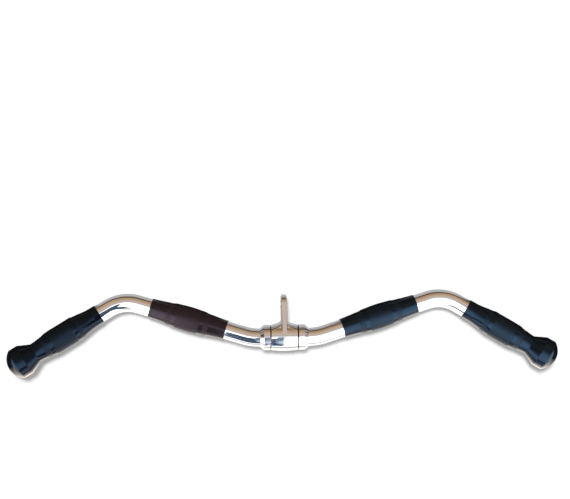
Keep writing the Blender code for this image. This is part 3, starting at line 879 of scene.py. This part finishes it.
class CURLBAR_OT_screws(bpy.types.Operator):
    """Builds the set screw on the underside of each collar"""

    bl_idname = "curl_bar.screws"
    bl_label = "Set screws"

    def execute(self, context):
        lay = Layout(context.scene)
        colours = context.scene.curl_bar_finishes
        steel = dull_metal("blackened_steel", colours.black_steel, roughness=0.5)
        upside_down = Matrix.Rotation(pi, 4, "X")
        for side, sign in SIDES_OF_THE_BAR:
            middle = lay.collar_start + lay.hub.collar_flat / 2
            place = lay.bar_place @ Matrix.Translation((sign * middle, 0.0, 0.0)) @ upside_down
            node = f"set_screw_{side}"
            finish_piece(
                f"socket_{node}", screw_mesh(lay), place, [steel], "bar", node
            )
        return {"FINISHED"}


def bush_mesh(lay):
    """A flanged bush, from the face of its flange inwards."""
    hub = lay.hub
    reach = lay.bush_radius + hub.flange_reach
    outline = [
        (0.0, lay.bush_bore_radius),
        (0.0, reach),
        (hub.flange_thickness, reach),
        (hub.flange_thickness, lay.bush_radius),
        (hub.bush_length, lay.bush_radius),
        (hub.bush_length, lay.bush_bore_radius),
    ]
    bm = turned(outline, TURNED_SIDES)
    round_edges(bm, hub.bush_edge)
    shade_smooth(bm)
    return bm


class CURLBAR_OT_bushes(bpy.types.Operator):
    """Builds the flanged bronze bushes in the hanger's ends"""

    bl_idname = "curl_bar.bushes"
    bl_label = "Bushes"

    def execute(self, context):
        lay = Layout(context.scene)
        colours = context.scene.curl_bar_finishes
        # The bronze is darkened as painted shade in the seams between the sleeve and the collars
        bronze = dull_metal("oiled_bronze", colours.bronze, roughness=0.42)
        for side, sign in SIDES_OF_THE_BAR:
            place = lay.hanger_place @ along_x(sign, lay.flange_face, inwards=True)
            node = f"bush_{side}"
            finish_piece(
                f"flanged_{node}", bush_mesh(lay), place, [bronze], "hanger", node
            )
        return {"FINISHED"}


def sleeve_radius(lay, x):
    """Outer radius of the plain sleeve, a little crowned along its length."""
    return lay.sleeve_radius + lay.hub.sleeve_crown * (1.0 - (x / lay.sleeve_half) ** 2)


def tab_side_normal(lay):
    """The direction, from the eye's, in which the tab's straight sides face."""
    return acos((sleeve_radius(lay, 0.0) - lay.eye_outer_radius) / lay.hub.eye_height)


def tab_reach(lay, angle):
    """Distance from the sleeve's axis to the tab's outline, on the eye's rim or a straight side."""
    eye_height = lay.hub.eye_height
    rim = lay.eye_outer_radius
    side_normal = tab_side_normal(lay)
    rim_end = atan2(rim * sin(side_normal), eye_height + rim * cos(side_normal))
    if abs(angle) <= rim_end:
        return eye_height * cos(angle) + sqrt(rim**2 - (eye_height * sin(angle)) ** 2)
    if abs(angle) < side_normal:
        return sleeve_radius(lay, 0.0) / cos(side_normal - abs(angle))
    return sleeve_radius(lay, 0.0)


def hanger_angles(lay):
    """Angles of the hanger's sections round the sleeve, from the eye's direction, for one side."""
    rim = lay.eye_outer_radius
    side_normal = tab_side_normal(lay)
    around_rim = spaced(0.0, side_normal, RIM_STEPS)
    angles = [atan2(rim * sin(on), lay.hub.eye_height + rim * cos(on)) for on in around_rim]
    angles += spaced(angles[-1], side_normal, TAB_STEPS)[1:]
    angles += spaced(side_normal, pi, BACK_STEPS)[1:]
    return angles


def fairing_outline(lay):
    """The slope and fillet between the sleeve's end and the tab's cheek, as (x, radius) points."""
    slope = lay.hub.fairing_slope
    fillet_radius = lay.hub.fairing_fillet
    foot_x = lay.sleeve_half - lay.hub.sleeve_edge
    centre_x = lay.hub.tab_thickness / 2 + fillet_radius
    slope_there = lay.sleeve_radius + (foot_x - centre_x) * tan(slope)
    centre = (centre_x, slope_there + fillet_radius / cos(slope))
    fillet = arc(centre, fillet_radius, -pi / 2 - slope, -pi, FILLET_STEPS)
    foot = (foot_x, lay.sleeve_radius)
    return [foot] + points_between(foot, fillet[0], SLOPE_STEPS) + fillet


def hanger_half_section(lay, angle, fairing):
    """Outer half section of the hanger at an angle from the eye's direction: (x, radius) points."""
    hub = lay.hub
    reach = tab_reach(lay, angle)
    fade = (1.0 + cos(pi * min(abs(angle) / hub.fairing_spread, 1.0))) / 2
    points = [(lay.sleeve_half, lay.sleeve_radius - hub.sleeve_edge)]
    for number, (x, radius) in enumerate(fairing):
        plain = sleeve_radius(lay, x)
        faded = plain + (radius - plain) * fade
        below_rim = (len(fairing) - number) * RIM_SPREAD / len(fairing)
        rim = reach - hub.rim_round - below_rim + (x - hub.tab_thickness / 2) * hub.fairing_ease
        points.append((x, max(smooth_lower(faded, rim, hub.fairing_blend), plain)))
    centre = (hub.tab_thickness / 2 - hub.rim_round, reach - hub.rim_round)
    for x, radius in arc(centre, hub.rim_round, 0.0, pi / 2, ROUND_STEPS):
        points.append((x, max(radius, sleeve_radius(lay, x))))
    return points


def eye_cutter(lay):
    """The tool that cuts the eye, flared at both ends so that the eye's edges are rounded."""
    hub = lay.hub
    half = hub.tab_thickness / 2
    radius = hub.eye_diameter / 2
    centre = (half - hub.eye_round, radius + hub.eye_round)
    flare = arc(centre, hub.eye_round, -pi / 2, FLARE_END, FLARE_STEPS)
    right = flare + [(half + hub.eye_round, flare[-1][1]), (half + hub.eye_round, 0.0)]
    left = [(-x, away) for x, away in reversed(right)]
    bm = turned(left + right, EYE_SIDES)
    bmesh.ops.translate(bm, verts=bm.verts[:], vec=(0.0, hub.eye_height, 0.0))
    return bm


def hanger_mesh(lay):
    """The sleeve and the eye in one casting, lofted round the sleeve's axis."""
    one_side = hanger_angles(lay)
    fairing = fairing_outline(lay)
    half, bore = lay.sleeve_half, lay.sleeve_bore_radius
    bm = bmesh.new()
    loops = []
    for angle in one_side + [-angle for angle in reversed(one_side[1:-1])]:
        outside = hanger_half_section(lay, angle, fairing)
        section = outside + [(-x, away) for x, away in reversed(outside)]
        section += [(-half, bore), (half, bore)]
        verts = [bm.verts.new((x, away * cos(angle), away * sin(angle))) for x, away in section]
        loops.append([bm.edges.new(pair) for pair in zip(verts, verts[1:] + verts[:1])])
    for loop, following in zip(loops, loops[1:] + loops[:1]):
        bmesh.ops.bridge_loops(bm, edges=loop + following)
    bmesh.ops.dissolve_degenerate(bm, dist=CASTING_MERGE, edges=bm.edges[:])
    bm = cut_away(bm, eye_cutter(lay))
    shade_smooth(bm)
    return bm


class CURLBAR_OT_hanger(bpy.types.Operator):
    """Builds the revolving hanger with its eye"""

    bl_idname = "curl_bar.hanger"
    bl_label = "Hanger"

    def execute(self, context):
        lay = Layout(context.scene)
        piece = finish_piece(
            "cast_hanger",
            hanger_mesh(lay),
            lay.hanger_place,
            [hub_chrome(context)],
            "hanger",
            "hanger",
        )
        even_shading(piece)
        return {"FINISHED"}


# The grips

GLOSS = 0
MATT = 1
KNURL = 2


def band_points(bands, radius_at, grips):
    """Outline of a grip's outside, and where each band starts and ends.

    A band is its length, its height over the swell and its finish. A band that stands over its
    neighbour has its edge broken.
    """
    points = []
    spans = []
    start = 0.0
    for number, (length_of_band, raised, finish) in enumerate(bands):
        end = start + length_of_band
        if finish == KNURL:
            count = 2 * round(length_of_band / grips.knurl_pitch)
        else:
            count = max(2, ceil(length_of_band / grips.step))
        before = bands[number - 1][1] if number else raised
        after = bands[number + 1][1] if number + 1 < len(bands) else raised
        edge = grips.rib_height / 2
        at_start = edge if raised > before else 0.0
        at_end = edge if raised > after else 0.0
        if at_start:
            points.append((start, radius_at(start) + raised - edge))
        for step in range(count + 1):
            along = start + at_start + (length_of_band - at_start - at_end) * step / count
            points.append((along, radius_at(along) + raised))
        if at_end:
            points.append((end, radius_at(end) + raised - edge))
        spans.append((start, end, finish, count))
        start = end
    return points, spans


def band_faces(bm, start, end, bore_radius):
    """The faces of a grip's outside between two places along it."""
    centres = {face: face.calc_center_median() for face in bm.faces}
    outside = [face for face in bm.faces if centres[face].yz.length > bore_radius * OFF_THE_BORE]
    return [face for face in outside if start < centres[face].x < end]


def press_knurl(bm, start, end, rows, height, bore_radius):
    """Presses diamonds into a band: every other point rises, and the faces fold between them."""
    pitch = (end - start) / rows
    facing = 2 * pi / KNURL_SIDES
    inside = band_faces(bm, start + pitch / 4, end - pitch / 4, bore_radius)
    parity = {}
    for vert in {vert for face in inside for vert in face.verts}:
        row = round((vert.co.x - start) / pitch)
        column = round(atan2(vert.co.y, vert.co.z) / facing)
        parity[vert] = (row + column) % 2
        if 0 < row < rows:
            away = vert.co.yz.length
            change = height * (KNURL_RISE if parity[vert] == 0 else KNURL_RISE - 1.0)
            vert.co.yz = vert.co.yz * (away + change) / away
    for face in inside:
        valley = [vert for vert in face.verts if parity[vert] == 1]
        if len(valley) == 2:
            other, _ = bmesh.utils.face_split(face, valley[0], valley[1])
            for half in (face, other):
                half.smooth = False
                half.material_index = KNURL


def grip_mesh(lay, outline, spans):
    """A grip turned from its outline, with a finish for each band."""
    bm = turned(outline, KNURL_SIDES)
    shade_smooth(bm)
    for start, end, finish, _ in spans:
        for face in band_faces(bm, start, end, lay.seat_radius):
            face.material_index = finish
    for start, end, finish, rows in spans:
        if finish == KNURL:
            press_knurl(bm, start, end, rows, lay.grips.knurl_height, lay.seat_radius)
    return bm


def inner_grip_radius(lay, along):
    """The inner grip's swell: thin at both ends and full in the middle."""
    off = abs(2 * along / lay.inner_grip - 1.0)
    swell = lay.grip_swell_radius - lay.grip_end_radius
    return lay.grip_end_radius + swell * (1.0 + cos(pi * off)) / 2


def inner_grip_mesh(lay):
    """An inner grip: a sleeve of rubber with two ribs beside its knurled middle."""
    grips = lay.grips
    end_bands = [
        (grips.inner_cuff, 0.0, GLOSS),
        (grips.inner_matt, -grips.matt_depth, MATT),
        (grips.inner_rib, grips.rib_height, GLOSS),
    ]
    bands = end_bands + [(grips.inner_knurl, 0.0, KNURL)] + end_bands[::-1]
    outside, spans = band_points(bands, lambda along: inner_grip_radius(lay, along), grips)
    lip = lay.grip_end_radius - grips.lip
    start = [(0.0, lay.seat_radius), (0.0, lip), (grips.lip, outside[0][1])]
    end = [
        (lay.inner_grip - grips.lip, outside[-1][1]),
        (lay.inner_grip, lip),
        (lay.inner_grip, lay.seat_radius),
    ]
    return grip_mesh(lay, start + outside[1:-1] + end, spans)


def outer_grip_radius(lay, along):
    """The outer grip's swell, between its plain cuff and its neck."""
    grips = lay.grips
    ribs_start = grips.outer_cuff + grips.outer_matt
    knurl_end = ribs_start + grips.outer_rib + grips.outer_knurl
    rise = smooth_rise(along, grips.outer_cuff * CUFF_PLAIN, ribs_start + grips.outer_rib)
    fall = smooth_rise(along, knurl_end - grips.outer_rib, lay.outer_bands)
    swollen = lay.grip_end_radius + (lay.grip_swell_radius - lay.grip_end_radius) * rise
    return swollen + (lay.neck_radius - swollen) * fall


def bulb_outline(lay, on_neck):
    """Outline of the cone, the bulb and its crown, from a point on the neck to the axis."""
    grips = lay.grips
    neck = (lay.outer_bands, lay.neck_radius)
    cone_end = (lay.bulb_start, lay.bulb_radius)
    bulb_end = (lay.bulb_start + grips.bulb_length, lay.bulb_radius)
    crown_radius = (lay.bulb_radius**2 + grips.bulb_crown**2) / (2 * grips.bulb_crown)
    crown_centre = (lay.outer_grip - crown_radius, 0.0)
    crown_angle = asin(lay.bulb_radius / crown_radius)
    crown = arc(crown_centre, crown_radius, crown_angle, 0.0, CROWN_STEPS)
    waist = rounded_corner(on_neck, neck, cone_end, grips.cone_edge, CORNER_STEPS)
    shoulder = rounded_corner(neck, cone_end, bulb_end, grips.cone_edge, CORNER_STEPS)
    # The crown's third point gives the way in which the crown leaves the bulb
    brim = rounded_corner(cone_end, bulb_end, crown[2], grips.brim_edge, BRIM_STEPS)
    slope = points_between(waist[-1], shoulder[0], CONE_STEPS)
    flat = points_between(shoulder[-1], brim[0], BULB_STEPS)
    dome = [point for point in crown if point[0] > brim[-1][0] + grips.step / 4]
    return waist + slope + shoulder + flat + brim + dome[:-1] + [(lay.outer_grip, 0.0)]


def outer_grip_mesh(lay):
    """An outer grip: bands, neck, cone and bulb, with a blind bore for the bar."""
    grips = lay.grips
    bands = [
        (grips.outer_cuff, 0.0, GLOSS),
        (grips.outer_matt, -grips.matt_depth, MATT),
        (grips.outer_rib, grips.rib_height, GLOSS),
        (grips.outer_knurl, 0.0, KNURL),
        (grips.outer_rib, grips.rib_height, GLOSS),
        (grips.outer_matt, -grips.matt_depth, MATT),
        (grips.outer_neck, 0.0, GLOSS),
    ]
    outside, spans = band_points(bands, lambda along: outer_grip_radius(lay, along), grips)
    bulb = bulb_outline(lay, outside[-3])
    bore = [(lay.outer_bore, 0.0), (lay.outer_bore, lay.seat_radius), (0.0, lay.seat_radius)]
    mouth = [(0.0, lay.grip_end_radius - grips.lip), (grips.lip, outside[0][1])]
    along_neck = [point for point in outside[1:] if point[0] < bulb[0][0]]
    return grip_mesh(lay, bore + mouth + along_neck + bulb, spans)


# Grips given a look of their own: painted light, warmer or dimmer reflections on the same rubber as
# the others
LIT_LOOKS = {"inner_grip_left": "warm_lit_rubber", "outer_grip_left": "dim_lit_rubber"}


def add_grips(context, kind, mesh_of):
    """Both grips of a kind, on the bar's straights."""
    lay = Layout(context.scene)
    at = getattr(lay, f"{kind}_grip_at")
    way = getattr(lay, f"{kind}_way")
    for side, sign in SIDES_OF_THE_BAR:
        heading = atan2(way.y, sign * way.x)
        place = Matrix.Translation((sign * at.x, at.y, 0.0)) @ Matrix.Rotation(heading, 4, "Z")
        node = f"{kind}_grip_{side}"
        batch = LIT_LOOKS.get(node, "blue_lit_rubber")
        finishes = rubber_finishes(context.scene.curl_bar_finishes, batch)
        finish_piece(
            f"knurled_{node}",
            mesh_of(lay),
            lay.bar_place @ place,
            finishes,
            "bar",
            node,
        )


class CURLBAR_OT_inner_grips(bpy.types.Operator):
    """Builds the two inner grips"""

    bl_idname = "curl_bar.inner_grips"
    bl_label = "Inner grips"

    def execute(self, context):
        add_grips(context, "inner", inner_grip_mesh)
        return {"FINISHED"}


class CURLBAR_OT_outer_grips(bpy.types.Operator):
    """Builds the two outer grips with their bulb ends"""

    bl_idname = "curl_bar.outer_grips"
    bl_label = "Outer grips"

    def execute(self, context):
        add_grips(context, "outer", outer_grip_mesh)
        return {"FINISHED"}


# The studio

# What the chrome sees from -Y over the zenith to +Y: the direction's Y, then the brightness
ROOM = (
    (-1.00, (2.6, 2.6, 2.6)),
    (-0.85, (4.6, 4.6, 4.6)),
    (-0.50, (4.5, 4.5, 4.5)),
    (-0.28, (3.8, 3.8, 3.8)),
    (-0.12, (2.2, 2.2, 2.2)),
    (-0.02, (1.70, 1.70, 1.70)),
    (0.05, (0.98, 0.90, 0.88)),
    (0.10, (0.63, 0.535, 0.51)),
    (0.22, (0.74, 0.62, 0.55)),
    (0.38, (0.82, 0.655, 0.53)),
    (0.56, (0.72, 0.525, 0.365)),
    (0.70, (0.665, 0.455, 0.29)),
    (0.81, (0.57, 0.385, 0.235)),
    (0.90, (0.42, 0.28, 0.165)),
    (0.96, (0.28, 0.19, 0.12)),
    (1.00, (0.25, 0.175, 0.12)),
)

# Soft edges of the mirrored room's walls and strips, by the direction's X, Y or Z
SIDE_WALL = (0.52, 0.74)
OVER_THE_BAR = (-0.12, 0.0)
FAR_HALF = (0.03, 0.09)
SILVER_STRIP = ((-0.10, -0.05), (0.16, 0.12))
LOW_STRIP = ((0.10, 0.13), (0.37, 0.30))

# Soft edges on the mirrored floor: across the bar's centre line, counted towards the far side
UNDER_THE_BAR = (-0.004, 0.004)
FAR_OFF = (0.06, 0.45)
BESIDE_THE_BAR = (-0.07, -0.05)
FROM_THE_BULB = (-0.010, -0.040)
NEAR_THE_BULB = (-0.35, -0.30)
# Along X from the hub, along the inner grip, and along Y from the hub
AT_THE_BULB = (0.30, 0.34)
GRIP_START = (0.004, 0.012)
NEAR_LINE = ((-0.085, -0.10), (-0.26, -0.22))

# Soft edges of the cards' light corner, along X and Y, and of its mottle
CARD_RIGHT = (-0.072, -0.038)
CARD_BACK = (-0.72, -0.36)
CARD_MOTTLE = (0.20, 0.55)

# Corners of the mirrored cards, x and y from the hub's centre
HUB_CARD = (
    (-0.128, -0.08),
    (-0.05, -0.08),
    (-0.03, -0.005),
    (0.014, -0.005),
    (0.03, -0.6),
    (0.09, -3.6),
    (-1.38, -3.6),
)
BEND_CARD = ((-0.260, 0.030), (-0.238, -0.022), (-0.224, -0.008), (-0.226, 0.046))

WHITE = (1.0, 1.0, 1.0)
BLACK = (0.0, 0.0, 0.0)

# The floor lies this far under the lowest point of the bar
FLOOR_GAP = 0.0001


def add_ramp(tree, value, stops):
    """A colour ramp with the given places and colours."""
    ramp = tree.nodes.new("ShaderNodeValToRGB")
    elements = ramp.color_ramp.elements
    while len(elements) < len(stops):
        elements.new(0.5)
    for element, (place, tone) in zip(elements, stops):
        element.position = place
        element.color = (*tone, 1.0)
    feed(tree, ramp.inputs["Fac"], value)
    return ramp.outputs["Color"]


def mirrored_only(tree):
    """1 for rays that show in the polished pieces, 0 for all others."""
    rays = tree.nodes.new("ShaderNodeLightPath").outputs
    direct = add_maths(tree, "LESS_THAN", rays["Diffuse Depth"], 0.5)
    return add_maths(tree, "MULTIPLY", rays["Is Glossy Ray"], direct)


def seen_directly(tree):
    """1 for rays from the camera, through glass too, and 0 for all others."""
    rays = tree.nodes.new("ShaderNodeLightPath").outputs
    return add_maths(tree, "MAXIMUM", rays["Is Camera Ray"], rays["Is Transmission Ray"])


def mirrored_room(tree, studio):
    """The room in the polished pieces, as shares of its level: white in front, brown behind."""
    x, y, z = coordinates(tree, "Generated")
    level = studio.room_level
    stops = [((at + 1) / 2, [value / level for value in seen]) for at, seen in ROOM]
    walls = add_ramp(tree, add_maths(tree, "MULTIPLY_ADD", y, 0.5, 0.5), stops)
    on_left = add_step(tree, x, [-edge for edge in SIDE_WALL])
    on_right = add_step(tree, x, SIDE_WALL)
    from_over_bar = add_step(tree, y, OVER_THE_BAR)
    behind_bar = add_step(tree, y, FAR_HALF)
    for tone, part, half in (
        (studio.left_wall, on_left, from_over_bar),
        (studio.right_wall, on_right, from_over_bar),
        (studio.silver_wall, add_band(tree, z, *SILVER_STRIP), behind_bar),
        (studio.low_wall, add_band(tree, z, *LOW_STRIP), behind_bar),
    ):
        seen = add_maths(tree, "MULTIPLY", part, half)
        walls = mix_colours(tree, seen, walls, [value / level for value in tone])
    return walls


def make_world(studio):
    """A plain white room for camera and light, and a brown and white one in the reflections."""
    world = bpy.data.worlds.new("studio")
    world.use_nodes = True
    world.cycles.sampling_method = "NONE"
    tree = world.node_tree
    tree.nodes.clear()
    room = tree.nodes.new("ShaderNodeBackground")
    feed(tree, room.inputs["Color"], mirrored_room(tree, studio))
    feed(tree, room.inputs["Strength"], studio.room_level)
    plain = tree.nodes.new("ShaderNodeBackground")
    strength = add_maths(tree, "MULTIPLY_ADD", seen_directly(tree), 1.0 - studio.sky, studio.sky)
    feed(tree, plain.inputs["Color"], WHITE)
    feed(tree, plain.inputs["Strength"], strength)
    mix = tree.nodes.new("ShaderNodeMixShader")
    feed(tree, mix.inputs["Fac"], mirrored_only(tree))
    tree.links.new(plain.outputs["Background"], mix.inputs[1])
    tree.links.new(room.outputs["Background"], mix.inputs[2])
    output = tree.nodes.new("ShaderNodeOutputWorld")
    tree.links.new(mix.outputs["Shader"], output.inputs["Surface"])
    bpy.context.scene.world = world


def along_way(tree, x, y, way):
    """How far a point lies along a direction."""
    return add_maths(tree, "MULTIPLY_ADD", x, way[0], add_maths(tree, "MULTIPLY", y, way[1]))


def beside_straight(tree, x, y, at, way):
    """How far a point of the floor is along a straight of the bar, and how far to its far side."""
    from_x = add_maths(tree, "SUBTRACT", x, at.x)
    from_y = add_maths(tree, "SUBTRACT", y, at.y)
    across = (-way.y, way.x)
    return along_way(tree, from_x, from_y, way), along_way(tree, from_x, from_y, across)


def near_floor(tree, studio, x, y, past_bar):
    """The mirrored floor on the camera's side, brighter beside the bar and most by its bulbs."""
    on_line = add_band(tree, y, *NEAR_LINE)
    tone = mix_colours(tree, on_line, studio.near_side, studio.near_line)
    tone = mix_colours(tree, add_step(tree, past_bar, BESIDE_THE_BAR), tone, studio.near_glow)
    from_bulb = add_step(tree, past_bar, FROM_THE_BULB)
    glow = mix_colours(tree, from_bulb, studio.under_bulb, studio.bulb_glow)
    at_bulb = add_step(tree, x, AT_THE_BULB)
    by_bulb = add_maths(tree, "MULTIPLY", at_bulb, add_step(tree, past_bar, NEAR_THE_BULB))
    return mix_colours(tree, by_bulb, tone, glow)


def far_floor(tree, studio, past_bar, behind_grip):
    """The mirrored floor behind the bar: silver behind bare chrome, dark behind the grips."""
    far_off = add_step(tree, past_bar, FAR_OFF)
    tone = mix_colours(tree, far_off, studio.silver, studio.far_off)
    return mix_colours(tree, behind_grip, tone, studio.shade)


def mirrored_floor(tree, studio, lay):
    """The floor in the polished pieces, the same on the left and on the right of the hub."""
    x, y, _ = coordinates(tree, "Object")
    x = add_maths(tree, "ABSOLUTE", x)
    y = add_maths(tree, "SUBTRACT", y, HUB.y)
    along_inner, past_inner = beside_straight(tree, x, y, lay.inner_grip_at, lay.inner_way)
    along_outer, past_outer = beside_straight(tree, x, y, lay.outer_grip_at, lay.outer_way)
    past_bar = add_maths(tree, "MAXIMUM", add_maths(tree, "MINIMUM", y, past_inner), past_outer)
    soft = studio.shade_edge
    grip_end = (lay.inner_grip + soft, lay.inner_grip - soft)
    behind_inner = add_band(tree, along_inner, GRIP_START, grip_end)
    behind_outer = add_step(tree, along_outer, (-soft, soft))
    behind_grip = add_maths(tree, "MAXIMUM", behind_inner, behind_outer)
    near_side = near_floor(tree, studio, x, y, past_bar)
    far_side = far_floor(tree, studio, past_bar, behind_grip)
    return mix_colours(tree, add_step(tree, past_bar, UNDER_THE_BAR), near_side, far_side)


def make_floor(studio, lay, height):
    """A pale floor that keeps the object's shadow."""
    bm = bmesh.new()
    bmesh.ops.create_grid(bm, x_segments=8, y_segments=8, size=studio.floor_half)
    bmesh.ops.translate(bm, verts=bm.verts[:], vec=(0.0, 0.0, height))
    floor = link_mesh("studio_floor", bm)
    material, tree, shader = new_material("pale_floor")
    material.cycles.emission_sampling = "NONE"
    feed(tree, shader.inputs["Roughness"], 1.0)
    feed(tree, shader.inputs["Specular IOR Level"], 0.0)
    mirrored = mirrored_only(tree)
    glow = mix_colours(tree, mirrored, WHITE, mirrored_floor(tree, studio, lay))
    strength = add_maths(tree, "MULTIPLY_ADD", seen_directly(tree), studio.floor_glow, mirrored)
    feed(tree, shader.inputs["Base Color"], mix_colours(tree, mirrored, studio.floor, BLACK))
    feed(tree, shader.inputs["Emission Color"], glow)
    feed(tree, shader.inputs["Emission Strength"], strength)
    floor.data.materials.append(material)
    floor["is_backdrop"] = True


def card_finish(studio):
    """Mottled grey-blue that shines by itself, lighter in the corner by the hub."""
    material = bpy.data.materials.new("mirrored_card")
    material.use_nodes = True
    material.cycles.emission_sampling = "NONE"
    tree = material.node_tree
    tree.nodes.clear()
    x, y, _ = coordinates(tree, "Object")
    on_right, in_back = add_step(tree, x, CARD_RIGHT), add_step(tree, y, CARD_BACK)
    corner = add_maths(tree, "MULTIPLY", on_right, in_back)
    mottle = add_step(tree, add_noise(tree, scale=4.0, detail=2.0), CARD_MOTTLE)
    light = add_maths(tree, "MULTIPLY", corner, mottle)
    glow = tree.nodes.new("ShaderNodeEmission")
    feed(tree, glow.inputs["Color"], mix_colours(tree, light, studio.card_dark, studio.card_light))
    output = tree.nodes.new("ShaderNodeOutputMaterial")
    tree.links.new(glow.outputs["Emission"], output.inputs["Surface"])
    return material


def make_cards(studio):
    """Two cards that only the polished pieces mirror, on the left of the hub."""
    finish = card_finish(studio)
    for name, height, corners in (
        ("hub_card", studio.hub_card_height, HUB_CARD),
        ("bend_card", studio.bend_card_height, BEND_CARD),
    ):
        bm = bmesh.new()
        bm.faces.new([bm.verts.new(HUB + Vector((x, y, height))) for x, y in corners])
        card = link_mesh(name, bm)
        card.data.materials.append(finish)
        card.visible_camera = False
        card.visible_diffuse = False
        card.visible_shadow = False
        card.visible_transmission = False
        card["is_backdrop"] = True


def make_lamp(studio):
    """A wide soft lamp, high up on the left."""
    lamp = bpy.data.lights.new("soft_lamp", "SUN")
    lamp.energy = (1.0 - studio.sky) * pi / sin(studio.sun_height)
    lamp.angle = studio.sun_size
    lamp_object = bpy.data.objects.new("soft_lamp", lamp)
    low = cos(studio.sun_height)
    towards = Vector(
        (-cos(studio.sun_side) * low, sin(studio.sun_side) * low, sin(studio.sun_height))
    )
    lamp_object.rotation_mode = "QUATERNION"
    lamp_object.rotation_quaternion = towards.to_track_quat("Z", "Y")
    lamp_object.visible_glossy = False
    bpy.context.scene.collection.objects.link(lamp_object)


def make_camera(studio):
    """The camera over the bar, aimed so that the bar lies low in the picture."""
    camera = bpy.data.cameras.new("camera")
    camera.lens = studio.lens
    camera.clip_start = 0.01
    camera.clip_end = 100.0
    camera_object = bpy.data.objects.new("camera", camera)
    place = HUB + Vector((studio.camera_side, studio.camera_back, studio.camera_distance))
    aim = HUB + Vector((studio.aim_side, studio.aim_back, 0.0))
    back = (place - aim).normalized()
    up = Vector((sin(studio.roll), cos(studio.roll), 0.0))
    right = up.cross(back).normalized()
    up = back.cross(right)
    turned_to = Matrix((right, up, back)).transposed().to_4x4()
    camera_object.matrix_world = Matrix.Translation(place) @ turned_to
    bpy.context.scene.collection.objects.link(camera_object)
    bpy.context.scene.camera = camera_object


class CURLBAR_OT_stage(bpy.types.Operator):
    """Builds the floor, the light and the camera"""

    bl_idname = "curl_bar.stage"
    bl_label = "Studio"

    def execute(self, context):
        studio = context.scene.curl_bar_studio
        make_world(studio)
        make_floor(studio, Layout(context.scene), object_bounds()[0].z - FLOOR_GAP)
        make_cards(studio)
        make_lamp(studio)
        make_camera(studio)
        context.scene.view_settings.view_transform = "Standard"
        return {"FINISHED"}


# Panel and registration

OPERATORS = (
    CURLBAR_OT_rod,
    CURLBAR_OT_collars,
    CURLBAR_OT_screws,
    CURLBAR_OT_hanger,
    CURLBAR_OT_bushes,
    CURLBAR_OT_inner_grips,
    CURLBAR_OT_outer_grips,
    CURLBAR_OT_stage,
)
GROUPS = {
    "curl_bar_rod": CURLBAR_PG_rod,
    "curl_bar_hub": CURLBAR_PG_hub,
    "curl_bar_grips": CURLBAR_PG_grips,
    "curl_bar_finishes": CURLBAR_PG_finishes,
    "curl_bar_studio": CURLBAR_PG_studio,
}


class CURLBAR_PT_pieces(bpy.types.Panel):
    """The pieces of the curl bar and their sizes"""

    bl_idname = "CURLBAR_PT_pieces"
    bl_label = "Curl Bar"
    bl_space_type = "VIEW_3D"
    bl_region_type = "UI"
    bl_category = "Curl Bar"

    def draw(self, context):
        for operator in OPERATORS:
            self.layout.operator(operator.bl_idname)
        for name, group in GROUPS.items():
            box = self.layout.box()
            box.label(text=group.__doc__)
            for prop in group.__annotations__:
                box.prop(getattr(context.scene, name), prop)


def register():
    """Registers the properties, the operators and the panel."""
    for name, group in GROUPS.items():
        bpy.utils.register_class(group)
        setattr(bpy.types.Scene, name, PointerProperty(type=group))
    for operator in OPERATORS:
        bpy.utils.register_class(operator)
    bpy.utils.register_class(CURLBAR_PT_pieces)


def unregister():
    """Takes the panel, the operators and the properties away again."""
    bpy.utils.unregister_class(CURLBAR_PT_pieces)
    for operator in reversed(OPERATORS):
        bpy.utils.unregister_class(operator)
    for name, group in reversed(GROUPS.items()):
        delattr(bpy.types.Scene, name)
        bpy.utils.unregister_class(group)


def main():
    """Builds every piece and the studio."""
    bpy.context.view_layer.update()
    register()
    bpy.ops.curl_bar.rod()
    bpy.ops.curl_bar.collars()
    bpy.ops.curl_bar.screws()
    bpy.ops.curl_bar.hanger()
    bpy.ops.curl_bar.bushes()
    bpy.ops.curl_bar.inner_grips()
    bpy.ops.curl_bar.outer_grips()
    bpy.ops.curl_bar.stage()


if __name__ == "__main__":
    main()
